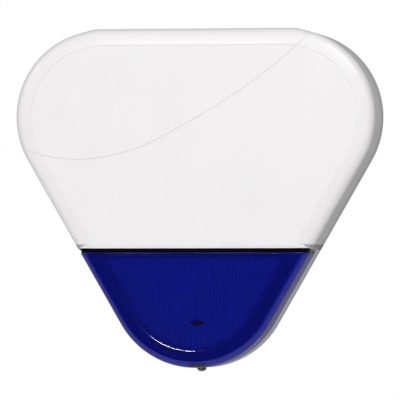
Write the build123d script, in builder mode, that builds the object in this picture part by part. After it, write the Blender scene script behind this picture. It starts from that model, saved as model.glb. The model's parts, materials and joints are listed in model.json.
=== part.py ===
from build123d import *
import os
from math import asin, cos, degrees, radians, sin, sqrt, tan

# Wall-mounted alarm siren with a strobe: a rounded triangle that points down.
# Millimetres, +Z up, +X to the right seen from the front. The wall is the plane Y = 0 and the front
# faces -Y, so "depth" below is the distance out from the wall. Z = 0 is the middle of the triangle.

os.makedirs("parts", exist_ok=True)

# ---- outline of the case
corner_radius = 71.5
corner_spacing = 157.0  # between the centres of the three corner circles
top_rise = 0.9  # the straight top edge stands this much above the corner circles
top_run_in = 15.0  # degrees, slope of the short runs that lead up to the top edge
top_blend = 30.0  # radius between those runs and the top edge

# ---- front of the case
case_depth = 60.0
band_width = 13.5  # from the outline in to the crease of the front face
band_slope = 12.0  # degrees
edge_radius = 8.2  # rounding between the side wall and the band
recess_depth = 0.5  # the front inside the crease is sunk by this much
recess_run = 0.6  # width of the step down to it
recess_corner = 5.0
lower_band = 3.3  # a band of the same slope runs along the white front's lower edge
groove_width = 0.9
groove_depth = 0.7
# the groove's line from edge to edge, seen from the front
groove_points = [(-156, 24), (-99.7, 9.9), (-51.6, 17.7), (-5, 40), (52, 75.7), (106, 122)]

# ---- cover and lens
cover_wall = 3.0
cover_lift = 1.0  # rear edge of the cover stands off the wall
skirt_depth = 24.5  # the lens starts here, the cover's skirt runs on behind it
split_height = 98.6  # lower edge of the white front above the lowest point
shadow_gap = 3.5  # between the cover's lower edge and the lens
lens_wall = 2.5
lens_seam = 0.3  # between lens and skirt
flange_height = 16.0  # lens flange behind the cover, above the shadow gap
flange_set_back = 5.0  # flange stands this far behind the inside of the cover's front
flange_thickness = 2.5
flange_screws = (-66.0, -22.0, 22.0, 66.0)
tongue_gap = 0.25
tongue_thickness = 1.6
tongue_length = 5.0
flute_pitch = 2.65
flute_height = 0.9
flute_margin = 1.5  # plain strip between the crease and the flutes
notch_width = 13.0
notch_length = 12.0
notch_height = 8.0
notch_wall = 1.8
cover_rib = 1.6
cover_rib_height = 4.0
cover_rib_spacing = 96.0
cover_rib_length = 90.0

# ---- backplate
tray_gap = 2.8  # all round, between tray and cover
tray_floor = 3.0
tray_wall = 2.5
tray_depth = 18.0
drain_spacing = 76.0
drain_width = 8.0
pillar_radius = 3.6
fixing_circle = 224.0  # pitch circle of the three wall fixings
fixing_hole = 5.5
fixing_boss = 14.0
fixing_boss_height = 2.0
floor_rib = 1.6
floor_rib_height = 3.0
upright_rib_length = 50.0
level_rib_length = 90.0

# ---- hinge hooks at the top edge
hook_spacing = 104.0
hook_width = 12.0
hook_side_gap = 0.6
hinge_bar = 1.5  # radius of the cover's bars
hinge_fit = 0.08
hinge_depth = 3.2
hinge_drop = 2.2  # below the top edge
hook_arm = 1.4

# ---- cover screw, vertical, under the lowest point
screw_depth = 17.5
screw_radius = 2.0
screw_head_radius = 3.85
screw_head_height = 4.2
screw_reach = 10.5  # from under the head to the tip
screw_travel = 6.5
screw_clear = 0.2
pocket_depth = 7.5
pocket_clear = 0.35
pocket_wall = 2.3
pocket_floor = 2.5
retainer_radius = 3.4
retainer_height = 1.2
boss_stand_off = 3.0  # between the cover's pocket and the backplate's boss
boss_radius = 5.5
boss_length = 12.0
insert_radius = 3.6
insert_length = 8.0
press_gap = 0.02

# ---- small screws
small_screw = 1.5  # radius
small_head = 2.8
small_head_height = 1.8
small_bore_gap = 0.05

# ---- sounder
sounder_height = 55.0
sounder_radius = 38.0
sounder_wall = 2.5
sounder_depth = 25.0
sounder_ear_reach = 5.5  # its screws stand this far outside its wall
ear_radius = 5.0
ear_thickness = 3.0
disc_radius = 32.0
disc_thickness = 0.5
disc_seat = 6.0  # height of the seat above the housing's floor
grille_thickness = 2.5
grille_skirt = 4.0
grille_slots = 12
grille_slot_width = 4.0

# ---- boards
board_stand_off = 6.0
board_thickness = 1.6
board_width = 124.0
board_height = 48.0
board_centre = -32.0
board_corner_inset = 4.0
chip_height = 1.8
relay_width = 19.0
relay_height = 15.0
relay_depth = 15.0
coil_x = -18.0
coil_radius = 7.0
coil_width = 8.6
coil_height = 6.4
small_can_radius = 5.0
small_can_height = 16.0
large_can_radius = 8.0
large_can_height = 24.0
can_spacing = 11.0
strobe_stand_off = 12.0
strobe_width = 84.0
strobe_height = 34.0
strobe_centre = -88.0

# ---- terminal block
terminal_ways = 10
terminal_pitch = 5.0
terminal_height = 10.0
terminal_length = 9.0
funnel_width = 3.4
funnel_depth = 3.4

# ---- battery
cell_radius = 7.2
cell_length = 50.0
cell_count = 3
battery_x = -89.0
battery_z = 18.0
battery_seat = 0.1
bracket_width = 12.0
bracket_thickness = 1.2
bracket_gap = 0.3
bracket_foot = 9.0

# ---- flash tube and reflector
tube_radius = 3.0
tube_cap_length = 3.0
tube_height = 8.5  # axis above the strobe board
reflector_radius = 12.0
reflector_wall = 1.2
reflector_length = 60.0
tube_fit = 0.05
lamp_radius = 2.5
lamp_height = 8.0
lamp_spacing = 76.0

# ---- front tamper switch
tamper_z = -127.0
tamper_body = 12.0
tamper_body_height = 19.0
tamper_tip_set_back = 18.0  # of the plunger's tip behind the case's front
tamper_pin = 1.6
tamper_fit = 0.08
tamper_travel = 2.5
diamond_width = 10.0
diamond_height = 4.0
diamond_thickness = 2.0
post_gap = 0.3

# ---- rear tamper switch
rear_x = 70.0
rear_z = 84.0
rear_body = 14.0
rear_body_height = 12.0
rear_pin = 2.5
rear_collar = 3.4
rear_fit = 0.1
rear_travel = 3.0

# ---- cable entry
entry_x = 84.0
entry_z = 12.0
entry_radius = 10.0
cable_radius = 6.0
grommet_lip = 2.5
grommet_fit = 0.05

# ---- spirit level
vial_z = 102.0
vial_radius = 4.0
vial_length = 34.0
vial_cheek = 2.0

# ---- leads
lead_radius = 1.2
lead_bend = 5.0
plug_size = 8.0
ribbon_width = 12.0
ribbon_thickness = 1.0

# ---- worked out from the sizes above
upper_z = corner_spacing / (2 * sqrt(3))
lower_z = -corner_spacing / sqrt(3)
top_z = upper_z + corner_radius + top_rise
low_z = lower_z - corner_radius
split_z = low_z + split_height
lens_top = split_z - shadow_gap
lens_rear = skirt_depth + lens_seam
inner_front = case_depth - cover_wall
flange_depth = inner_front - flange_set_back
tray_inset = cover_wall + tray_gap
hinge_z = top_z - hinge_drop
pocket_seat = low_z + pocket_depth
pocket_top = pocket_seat + pocket_floor
pocket_radius = screw_head_radius + pocket_clear + pocket_wall
boss_low = pocket_top + boss_stand_off
head_seat = pocket_seat - screw_travel  # underside of the head while the screw is backed out
board_back = tray_floor + board_stand_off
board_front = board_back + board_thickness
strobe_back = tray_floor + strobe_stand_off
strobe_front = strobe_back + board_thickness
pilot_radius = small_screw + small_bore_gap
sounder_front = board_back + sounder_depth
sounder_ears = sounder_radius + sounder_ear_reach
tamper_tip = case_depth - tamper_tip_set_back
big = 2 * (corner_spacing + corner_radius)  # longer than the case


def front(depth):
    """Plane parallel to the wall at a depth, facing out of the wall."""
    return Plane.XZ.offset(depth)


def delta(depth, inset):
    """The case outline moved inwards by inset, as a face at a depth.

    Three corner arcs, two straight sides and a top edge that two short sloping runs lead up to.
    """
    radius = corner_radius - inset
    blend = top_blend - inset
    half = corner_spacing / 2
    top = upper_z + radius + top_rise
    climb = top_rise + radius * (1 - cos(radians(top_run_in)))
    peak_x = half + radius * sin(radians(top_run_in)) - climb / tan(radians(top_run_in))
    edge_x = peak_x - blend * tan(radians(top_run_in / 2))
    with BuildSketch(front(depth)) as face:
        with BuildLine():
            left = CenterArc((-half, upper_z), radius, 90 + top_run_in, 120 - top_run_in)
            low = CenterArc((0, lower_z), radius, 210, 120)
            right = CenterArc((half, upper_z), radius, -30, 120 - top_run_in)
            rise_right = CenterArc((edge_x, top - blend), blend, 90 - top_run_in, top_run_in)
            rise_left = CenterArc((-edge_x, top - blend), blend, 90, top_run_in)
            Line(left @ 1, low @ 0)
            Line(low @ 1, right @ 0)
            Line(right @ 1, rise_right @ 0)
            Line(rise_right @ 1, rise_left @ 0)
            Line(rise_left @ 1, left @ 0)
        make_face()
    return face.sketch


def front_form(skin, rear):
    """Solid inside the case's outer surface moved inwards by skin, from a rear depth to the front.

    A straight side wall, a rounded edge, a gently sloping band and a flat front inside the crease.
    """
    slope = radians(band_slope)
    shoulder = case_depth + (skin - band_width) * tan(slope) - skin / cos(slope)
    crease = band_width + skin * tan(slope / 2)
    with BuildPart() as form:
        extrude(delta(rear, skin), amount=shoulder - rear)
        loft([delta(shoulder, skin), delta(case_depth - skin, crease)], ruled=True)
        rim = form.edges().filter_by_position(Axis.Y, -shoulder - 0.01, -shoulder + 0.01)
        fillet(rim, radius=edge_radius - skin)
    return form.part


def sunk_front(skin, low, high):
    """Shallow plate with sloping sides, taken out of the front inside the crease between two heights."""
    crease = band_width + skin * tan(radians(band_slope) / 2)
    face_depth = case_depth - skin
    middle = (low + high) / 2
    with BuildPart() as plate:
        rims = [delta(face_depth, crease), delta(face_depth - recess_depth, crease + recess_run)]
        loft(rims, ruled=True)
        with BuildSketch(front(face_depth)) as mouth:
            with Locations((0, middle)):
                Rectangle(big, high - low)
        with BuildSketch(front(face_depth - recess_depth)) as floor:
            with Locations((0, middle)):
                Rectangle(big, high - low - 2 * recess_run)
        loft([mouth.sketch, floor.sketch], ruled=True, mode=Mode.INTERSECT)
        short = edges().filter_by(lambda edge: edge.length < 2 * recess_run)
        fillet(short.filter_by_position(Axis.Z, low, low + recess_run), radius=recess_corner)
    return plate.part


def sunk_form(skin, rear, low, high):
    """The front form with its front sunk between two heights."""
    with BuildPart() as form:
        add(front_form(skin, rear))
        add(sunk_front(skin, low, high), mode=Mode.SUBTRACT)
    return form.part


def cut_above(height):
    """Take away everything of the open part that lies above a height."""
    with BuildSketch(Plane.XY.offset(height)) as slab:
        Rectangle(big, big)
    extrude(slab.sketch, amount=big, mode=Mode.SUBTRACT)


def lens_form(skin, rear, top):
    """The front form below a height: the lens's outer or inner solid."""
    with BuildPart() as form:
        add(front_form(skin, rear))
        cut_above(top)
    return form.part


def posts(places, radius, depth, height, mode=Mode.ADD):
    """Round posts, or bores, that stand out from the wall at (x, z) places."""
    with BuildSketch(front(depth)) as foot:
        with Locations(*places):
            Circle(radius)
    extrude(foot.sketch, amount=height, mode=mode)


def block(x, z, depth, width, height, length, mode=Mode.ADD):
    """Rectangular block, centred on (x, z), that stands out from a depth."""
    with BuildSketch(front(depth)) as foot:
        with Locations((x, z)):
            Rectangle(width, height)
    extrude(foot.sketch, amount=length, mode=mode)


def pan_screws(places, seat, reach):
    """Small pan-head screws, heads seated at a depth, shanks reaching back from there."""
    posts(places, small_screw, seat - reach, reach)
    posts(places, small_head, seat, small_head_height)
    crowns = edges_at_depth(seat + small_head_height)
    chamfer(crowns, length=small_head_height / 3)


def pan_screws_facing_in(places, seat, reach):
    """Small pan-head screws driven from behind, heads seated on the wall side of a depth."""
    posts(places, small_screw, seat, reach)
    posts(places, small_head, seat - small_head_height, small_head_height)
    chamfer(edges_at_depth(seat - small_head_height), length=small_head_height / 3)


def edges_at_depth(depth):
    """Edges of the open part that lie at a depth."""
    return edges().filter_by_position(Axis.Y, -depth - 0.01, -depth + 0.01)


# ======== positions that several pieces share
half_board = (board_width / 2 - board_corner_inset, board_height / 2 - board_corner_inset)
board_holes = [(sx * half_board[0], board_centre + sz * half_board[1]) for sx in (-1, 1) for sz in (-1, 1)]
half_strobe = (strobe_width / 2 - board_corner_inset, strobe_height / 2 - board_corner_inset)
strobe_holes = [
    (sx * half_strobe[0], strobe_centre + sz * half_strobe[1]) for sx in (-1, 1) for sz in (-1, 1)
]
sounder_holes = [
    (sounder_ears * cos(radians(a)), sounder_height + sounder_ears * sin(radians(a))) for a in (30, 150, 270)
]
fixing_holes = [
    (fixing_circle / 2 * cos(radians(a)), fixing_circle / 2 * sin(radians(a))) for a in (30, 150, 270)
]
hook_places = (-hook_spacing / 2, hook_spacing / 2)
flange_holes = [(x, split_z + flange_height / 2) for x in flange_screws]
battery_half = cell_count * cell_radius
bracket_reach = battery_half + bracket_gap + bracket_foot / 2 + 1
bracket_holes = [(battery_x, battery_z - bracket_reach), (battery_x, battery_z + bracket_reach)]

# ======== backplate: tray, hooks, bosses, pillars, fixing holes
with BuildPart() as backplate:
    extrude(delta(0, tray_inset), amount=tray_depth)
    extrude(delta(tray_floor, tray_inset + tray_wall), amount=tray_depth, mode=Mode.SUBTRACT)
    # lattice of ribs on the floor
    upright_rib_z = fixing_holes[0][1]
    for x in (-fixing_holes[0][0] / 2, fixing_holes[0][0] / 2):
        block(x, upright_rib_z, tray_floor, floor_rib, upright_rib_length, floor_rib_height)
    level_rib_z = vial_z - 2 * vial_radius - 1
    block(0, level_rib_z, tray_floor, level_rib_length, floor_rib, floor_rib_height)
    # bosses round the three fixing holes
    posts(fixing_holes, fixing_boss / 2, tray_floor, fixing_boss_height)
    posts(fixing_holes, fixing_hole / 2, 0, tray_depth, mode=Mode.SUBTRACT)
    # pillars and their pilot bores
    posts(board_holes, pillar_radius, tray_floor, board_stand_off)
    posts(sounder_holes, pillar_radius, tray_floor, board_stand_off)
    posts(strobe_holes, pillar_radius, tray_floor, strobe_stand_off)
    posts(board_holes + sounder_holes, pilot_radius, 1, tray_depth, mode=Mode.SUBTRACT)
    posts(strobe_holes, pilot_radius, strobe_back - 8, tray_depth, mode=Mode.SUBTRACT)
    posts(bracket_holes, pillar_radius, tray_floor, tray_floor)
    posts(bracket_holes, pilot_radius, 1, tray_depth, mode=Mode.SUBTRACT)
    # cradle of the spirit level
    for x in (-vial_length / 2 + vial_cheek, vial_length / 2 - vial_cheek):
        block(x, vial_z, tray_floor, vial_cheek, 2 * vial_radius + 3, 2 * vial_radius)
    with BuildSketch(Plane.YZ.offset(-vial_length)) as vial_bore:
        with Locations((-tray_floor - vial_radius - 0.3, vial_z)):
            Circle(vial_radius + small_bore_gap)
    extrude(amount=2 * vial_length, mode=Mode.SUBTRACT)
    # cable entry with its collar
    posts([(entry_x, entry_z)], entry_radius + 3, tray_floor, floor_rib_height)
    posts([(entry_x, entry_z)], entry_radius, 0, tray_depth, mode=Mode.SUBTRACT)
    # hole for the rear tamper plunger
    posts([(rear_x, rear_z)], rear_pin + rear_fit, 0, tray_floor, mode=Mode.SUBTRACT)
    # boss for the cover screw on a web from the floor
    block(0, boss_low + boss_length / 2, tray_floor, boss_radius, boss_length, screw_depth - tray_floor)
    with BuildSketch(Plane.XY.offset(boss_low)) as boss:
        with Locations((0, -screw_depth)):
            Circle(boss_radius)
    extrude(amount=boss_length)
    with BuildSketch(Plane.XY.offset(boss_low)) as insert_bore:
        with Locations((0, -screw_depth)):
            Circle(insert_radius + press_gap)
    extrude(amount=insert_length, mode=Mode.SUBTRACT)
    with BuildSketch(Plane.XY.offset(boss_low)) as tip_bore:
        with Locations((0, -screw_depth)):
            Circle(screw_radius + screw_clear)
    extrude(amount=boss_length - 1.5, mode=Mode.SUBTRACT)
    # notch in the lowest wall that lets the cover's screw pocket in
    notch_half = pocket_radius + 1.7
    with BuildSketch(front(screw_depth - notch_half)) as pocket_notch:
        with Locations((0, low_z + tray_inset)):
            Rectangle(2 * notch_half, 4 * tray_wall)
    extrude(amount=tray_depth, mode=Mode.SUBTRACT)
    # hooks that carry the cover's bars
    hook_front = hinge_depth + hinge_bar + hinge_fit + hook_arm
    hook_back = hinge_depth - hinge_bar - hinge_fit - hook_arm
    for x in hook_places:
        block(x, (top_z - tray_inset - tray_wall + hinge_z) / 2, hook_back, hook_width,
              hinge_z - top_z + tray_inset + tray_wall, hook_front - hook_back)
        with BuildSketch(Plane.YZ.offset(x - hook_width)) as hook_bore:
            with Locations((-hinge_depth, hinge_z)):
                Circle(hinge_bar + hinge_fit)
        extrude(amount=2 * hook_width, mode=Mode.SUBTRACT)
    # drain slots in the sloping walls beside the lowest point
    drain_z = lower_z - sqrt((corner_radius - tray_inset) ** 2 - (drain_spacing / 2) ** 2)
    for x in (-drain_spacing / 2, drain_spacing / 2):
        block(x, drain_z, 1.5 * tray_floor, drain_width, 6 * tray_wall, drain_width / 2, mode=Mode.SUBTRACT)
backplate.part.label = "backplate"
export_step(backplate.part, "parts/backplate.step")

# ======== brass insert for the cover screw
with BuildPart() as boss_insert:
    with BuildSketch(Plane.XY.offset(boss_low)) as ring:
        with Locations((0, -screw_depth)):
            Circle(insert_radius)
            Circle(screw_radius + small_bore_gap, mode=Mode.SUBTRACT)
    extrude(amount=insert_length)
    chamfer(edges().sort_by(Axis.Z)[:2], length=0.4)
boss_insert.part.label = "boss_insert"
export_step(boss_insert.part, "parts/boss_insert.step")

# ======== rubber grommet of the cable entry
with BuildPart() as cable_grommet:
    posts([(entry_x, entry_z)], entry_radius - grommet_fit, 0.3, tray_floor + floor_rib_height)
    posts([(entry_x, entry_z)], entry_radius + grommet_lip, tray_floor + floor_rib_height, grommet_lip)
    posts([(entry_x, entry_z)], cable_radius, 0, tray_depth, mode=Mode.SUBTRACT)
    chamfer(edges_at_depth(tray_floor + floor_rib_height + grommet_lip), length=0.8)
cable_grommet.part.label = "cable_grommet"
export_step(cable_grommet.part, "parts/cable_grommet.step")

# ======== spirit level, held in its two cheeks
with BuildPart() as level_vial:
    with BuildSketch(Plane.YZ.offset(-vial_length / 2)) as vial_end:
        with Locations((-tray_floor - vial_radius - 0.3, vial_z)):
            Circle(vial_radius)
    extrude(amount=vial_length)
    chamfer(edges().filter_by(GeomType.CIRCLE), length=1.2)
level_vial.part.label = "level_vial"
export_step(level_vial.part, "parts/level_vial.step")

# ======== sounder: flanged housing, brass disc, slotted grille
sounder_place = [(0, sounder_height)]
disc_depth = board_back + disc_seat + sounder_wall
with BuildPart() as sounder_housing:
    posts(sounder_place, sounder_radius, board_back, sounder_depth)
    posts(sounder_holes, ear_radius, board_back, ear_thickness)
    for a in (30, 150, 270):
        with BuildSketch(front(board_back)) as ear_web:
            with Locations(Location((0, sounder_height), a)):
                with Locations((sounder_ears - ear_radius, 0)):
                    Rectangle(2 * ear_radius, 2 * ear_radius)
        extrude(amount=ear_thickness)
    posts(sounder_place, sounder_radius - sounder_wall, disc_depth, sounder_depth, mode=Mode.SUBTRACT)
    posts(sounder_place, disc_radius - 2, board_back + sounder_wall, sounder_depth, mode=Mode.SUBTRACT)
    posts(sounder_holes, pilot_radius, board_back, ear_thickness, mode=Mode.SUBTRACT)
sounder_housing.part.label = "sounder_housing"
export_step(sounder_housing.part, "parts/sounder_housing.step")

with BuildPart() as piezo_disc:
    posts(sounder_place, disc_radius, disc_depth, disc_thickness)
    posts(sounder_place, disc_radius * 0.6, disc_depth + disc_thickness, disc_thickness / 2)
piezo_disc.part.label = "piezo_disc"
export_step(piezo_disc.part, "parts/piezo_disc.step")

with BuildPart() as sounder_grille:
    posts(sounder_place, sounder_radius, sounder_front, grille_thickness)
    grille_seat = sounder_front - grille_skirt
    posts(sounder_place, sounder_radius - sounder_wall - small_bore_gap, grille_seat, grille_skirt)
    posts(sounder_place, sounder_radius - 2 * sounder_wall, grille_seat, grille_skirt, mode=Mode.SUBTRACT)
    with BuildSketch(front(sounder_front)) as slots:
        with Locations((0, sounder_height)):
            with PolarLocations(sounder_radius * 0.56, grille_slots):
                SlotOverall(sounder_radius * 0.46, grille_slot_width)
    extrude(amount=grille_thickness, mode=Mode.SUBTRACT)
    chamfer(edges_at_depth(sounder_front + grille_thickness).sort_by(SortBy.LENGTH)[-1:], length=1.0)
sounder_grille.part.label = "sounder_grille"
export_step(sounder_grille.part, "parts/sounder_grille.step")

with BuildPart() as sounder_screws:
    pan_screws(sounder_holes, board_back + ear_thickness, 8)
sounder_screws.part.label = "sounder_screws"
export_step(sounder_screws.part, "parts/sounder_screws.step")

# ======== control board and what it carries
with BuildPart() as control_board:
    block(0, board_centre, board_back, board_width, board_height, board_thickness)
    fillet(edges().filter_by(Axis.Y), radius=2.0)
    posts(board_holes, pilot_radius, board_back, board_thickness, mode=Mode.SUBTRACT)
control_board.part.label = "control_board"
export_step(control_board.part, "parts/control_board.step")

with BuildPart() as board_screws:
    pan_screws(board_holes, board_front, 7)
board_screws.part.label = "board_screws"
export_step(board_screws.part, "parts/board_screws.step")

board_top = board_centre + board_height / 2
board_low = board_centre - board_height / 2
terminal_x = board_width / 2 - 2 * board_corner_inset - terminal_ways * terminal_pitch / 2 - 2
terminal_z = board_top - terminal_length / 2 - 0.5
terminal_places = [(terminal_x + (i - (terminal_ways - 1) / 2) * terminal_pitch, terminal_z - 1)
                   for i in range(terminal_ways)]
terminal_width = terminal_ways * terminal_pitch
with BuildPart() as terminal_block:
    block(terminal_x, terminal_z, board_front, terminal_width, terminal_length, terminal_height)
    chamfer(edges_at_depth(board_front + terminal_height).sort_by(Axis.Z)[-1:], length=3.0)
    posts(terminal_places, terminal_pitch / 2 - 0.6, board_front + 3, terminal_height, mode=Mode.SUBTRACT)
    # wire funnels on the side that faces the cable entry
    for x, z in terminal_places:
        block(x, terminal_z + terminal_length / 2, board_front + 1, funnel_width, 5, funnel_depth,
              mode=Mode.SUBTRACT)
terminal_block.part.label = "terminal_block"
export_step(terminal_block.part, "parts/terminal_block.step")

with BuildPart() as terminal_screws:
    posts(terminal_places, terminal_pitch / 2 - 0.65, board_front + 3.05, terminal_height - 4)
    for x, z in terminal_places:
        block(x, z, board_front + terminal_height - 1.8, terminal_pitch, 0.6, 2, mode=Mode.SUBTRACT)
terminal_screws.part.label = "terminal_screws"
export_step(terminal_screws.part, "parts/terminal_screws.step")

small_can_x = -board_width / 2 + 4 * board_corner_inset + large_can_radius
small_can_z = board_top - 2 * board_corner_inset - small_can_radius
large_can_x = -board_width / 2 + 3 * board_corner_inset + large_can_radius
large_can_z = board_low + board_corner_inset + large_can_radius + 1
small_can_places = [(small_can_x, small_can_z), (small_can_x + can_spacing, small_can_z)]
with BuildPart() as capacitors:
    posts(small_can_places, small_can_radius, board_front, small_can_height)
    posts([(large_can_x, large_can_z)], large_can_radius, board_front, large_can_height)
    chamfer(edges_at_depth(board_front + small_can_height), length=0.7)
    chamfer(edges_at_depth(board_front + large_can_height), length=0.9)
capacitors.part.label = "capacitors"
export_step(capacitors.part, "parts/capacitors.step")

coil_z = board_low + coil_radius + 6
with BuildPart() as step_up_coil:
    with BuildSketch(Plane.YZ.offset(coil_x)) as coil_section:
        with Locations((-board_front - coil_height / 2 - 1.3, coil_z + coil_radius)):
            Rectangle(coil_width, coil_height)
        chamfer(coil_section.vertices(), length=1.6)
    revolve(axis=Axis((coil_x, 0, coil_z), (0, 1, 0)))
step_up_coil.part.label = "step_up_coil"
export_step(step_up_coil.part, "parts/step_up_coil.step")

relay_x = board_width / 2 - 2 * board_corner_inset - relay_width / 2 - 2.5
relay_z = board_low + relay_height / 2 + 3.5
with BuildPart() as board_chips:
    block(4, board_centre - 2, board_front, 10, 10, chip_height)
    block(relay_x - relay_width + 1, board_centre - 12, board_front, 8, 6, chip_height)
    block(terminal_x - terminal_width / 2 - 8, board_top - 8, board_front, 6, 5, chip_height)
    chamfer(edges_at_depth(board_front + chip_height), length=0.3)
board_chips.part.label = "board_chips"
export_step(board_chips.part, "parts/board_chips.step")

with BuildPart() as relay:
    block(relay_x, relay_z, board_front, relay_width, relay_height, relay_depth)
    fillet(edges().filter_by(Axis.Y), radius=1.0)
    chamfer(edges_at_depth(board_front + relay_depth), length=0.8)
relay.part.label = "relay"
export_step(relay.part, "parts/relay.step")

# ======== standby battery: cells side by side in one sleeve, a bracket over them
cell_back = tray_floor + battery_seat
cell_z = [battery_z + (i - (cell_count - 1) / 2) * 2 * cell_radius for i in range(cell_count)]
with BuildPart() as battery_pack:
    with BuildSketch(Plane.YZ.offset(battery_x - cell_length / 2)) as cells:
        with Locations(*[(-cell_back - cell_radius, z) for z in cell_z]):
            Circle(cell_radius)
        with Locations((-cell_back - cell_radius, battery_z)):
            Rectangle(1.2 * cell_radius, 2 * cell_radius * (cell_count - 1))
    extrude(amount=cell_length)
    chamfer(edges().group_by(Axis.X)[0] + edges().group_by(Axis.X)[-1], length=0.8)
battery_pack.part.label = "battery_pack"
export_step(battery_pack.part, "parts/battery_pack.step")

strap_depth = cell_back + 2 * cell_radius + bracket_gap
strap_half = battery_half + bracket_gap
strap_height = 2 * (strap_half + bracket_thickness)
foot_depth = 2 * tray_floor
with BuildPart() as battery_bracket:
    block(battery_x, battery_z, strap_depth, bracket_width, strap_height, bracket_thickness)
    for side in (-1, 1):
        leg_z = battery_z + side * (strap_half + bracket_thickness / 2)
        foot_z = battery_z + side * (strap_half + bracket_foot / 2)
        block(battery_x, leg_z, foot_depth, bracket_width, bracket_thickness, strap_depth - foot_depth)
        block(battery_x, foot_z, foot_depth, bracket_width, bracket_foot, bracket_thickness)
    posts(bracket_holes, pilot_radius, tray_floor, 2 * tray_floor, mode=Mode.SUBTRACT)
battery_bracket.part.label = "battery_bracket"
export_step(battery_bracket.part, "parts/battery_bracket.step")

with BuildPart() as bracket_screws:
    pan_screws(bracket_holes, 2 * tray_floor + bracket_thickness, 6)
bracket_screws.part.label = "bracket_screws"
export_step(bracket_screws.part, "parts/bracket_screws.step")

# ======== plugs and leads
battery_plug_x = -board_width / 2 + 13
sounder_plug_x = -24.0
plug_z = board_top - plug_size / 2
lead_depth = board_front + plug_size / 2
with BuildPart() as lead_plugs:
    block(battery_plug_x, plug_z, board_front, plug_size, plug_size - 2, plug_size)
    block(sounder_plug_x, plug_z, board_front, plug_size, plug_size - 2, plug_size)
    chamfer(edges_at_depth(board_front + plug_size), length=0.6)
lead_plugs.part.label = "lead_plugs"
export_step(lead_plugs.part, "parts/lead_plugs.step")

plug_face = plug_z + plug_size / 2 - 1
battery_lead_z = battery_z - cell_radius * 0.2
with BuildPart() as battery_lead:
    with BuildLine() as battery_route:
        FilletPolyline(
            (battery_x + cell_length / 2, -lead_depth, battery_lead_z),
            (battery_plug_x, -lead_depth, battery_lead_z),
            (battery_plug_x, -lead_depth, plug_face),
            radius=lead_bend,
        )
    with BuildSketch(Plane(battery_route.line @ 0, z_dir=battery_route.line % 0)) as lead_section:
        Circle(lead_radius)
    sweep()
battery_lead.part.label = "battery_lead"
export_step(battery_lead.part, "parts/battery_lead.step")

sounder_lead_x = -16.0
sounder_wall_z = sounder_height - sqrt(sounder_radius**2 - sounder_lead_x**2) + 0.4
with BuildPart() as sounder_lead:
    with BuildLine() as sounder_route:
        FilletPolyline(
            (sounder_lead_x, -lead_depth, sounder_wall_z),
            (sounder_lead_x, -lead_depth, 6),
            (sounder_plug_x, -lead_depth, 0),
            (sounder_plug_x, -lead_depth, plug_face),
            radius=lead_bend / 2,
        )
    with BuildSketch(Plane(sounder_route.line @ 0, z_dir=sounder_route.line % 0)) as wire_section:
        Circle(lead_radius)
    sweep()
    posts(sounder_place, sounder_radius, board_back, sounder_depth, mode=Mode.SUBTRACT)
sounder_lead.part.label = "sounder_lead"
export_step(sounder_lead.part, "parts/sounder_lead.step")

# ======== strobe: board, screws, trough reflector, flash tube, lamps, ribbon from the control board
with BuildPart() as strobe_board:
    block(0, strobe_centre, strobe_back, strobe_width, strobe_height, board_thickness)
    fillet(edges().filter_by(Axis.Y), radius=2.0)
    posts(strobe_holes, pilot_radius, strobe_back, board_thickness, mode=Mode.SUBTRACT)
strobe_board.part.label = "strobe_board"
export_step(strobe_board.part, "parts/strobe_board.step")

with BuildPart() as strobe_screws:
    pan_screws(strobe_holes, strobe_front, 7)
strobe_screws.part.label = "strobe_screws"
export_step(strobe_screws.part, "parts/strobe_screws.step")

tube_depth = strobe_front + tube_height
with BuildPart() as strobe_reflector:
    # half-round trough, open to the front, with closed ends that hold the tube
    trough_depth = strobe_front + reflector_radius
    with BuildSketch(Plane.YZ.offset(-reflector_length / 2)) as trough:
        with Locations((-trough_depth, strobe_centre)):
            Circle(reflector_radius)
    extrude(amount=reflector_length)
    inner_half = reflector_length / 2 - reflector_wall
    with BuildSketch(Plane.YZ.offset(-inner_half)) as hollow:
        with Locations((-trough_depth, strobe_centre)):
            Circle(reflector_radius - reflector_wall)
    extrude(amount=2 * inner_half, mode=Mode.SUBTRACT)
    block(0, strobe_centre, trough_depth, big, big, big, mode=Mode.SUBTRACT)
    with BuildSketch(Plane.YZ.offset(-reflector_length)) as tube_holes:
        with Locations((-tube_depth, strobe_centre)):
            Circle(tube_radius + tube_fit)
    extrude(amount=2 * reflector_length, mode=Mode.SUBTRACT)
strobe_reflector.part.label = "strobe_reflector"
export_step(strobe_reflector.part, "parts/strobe_reflector.step")

glass_half = reflector_length / 2 + 1
with BuildPart() as strobe_tube:
    with BuildSketch(Plane.YZ.offset(-glass_half)) as glass:
        with Locations((-tube_depth, strobe_centre)):
            Circle(tube_radius)
    extrude(amount=2 * glass_half)
strobe_tube.part.label = "strobe_tube"
export_step(strobe_tube.part, "parts/strobe_tube.step")

with BuildPart() as tube_caps:
    for side in (-1, 1):
        cap_start = side * (glass_half + tube_cap_length / 2) - tube_cap_length / 2
        with BuildSketch(Plane.YZ.offset(cap_start)) as cap:
            with Locations((-tube_depth, strobe_centre)):
                Circle(tube_radius)
        extrude(amount=tube_cap_length)
    chamfer(edges().group_by(Axis.X)[0] + edges().group_by(Axis.X)[-1], length=0.8)
tube_caps.part.label = "tube_caps"
export_step(tube_caps.part, "parts/tube_caps.step")

lamp_places = [(-lamp_spacing / 2, strobe_centre), (lamp_spacing / 2, strobe_centre)]
with BuildPart() as comfort_lamps:
    posts(lamp_places, lamp_radius, strobe_front, lamp_height)
    posts(lamp_places, lamp_radius + 0.4, strobe_front, 1.0)
    chamfer(edges_at_depth(strobe_front + lamp_height), length=lamp_radius * 0.4)
comfort_lamps.part.label = "comfort_lamps"
export_step(comfort_lamps.part, "parts/comfort_lamps.step")

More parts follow.
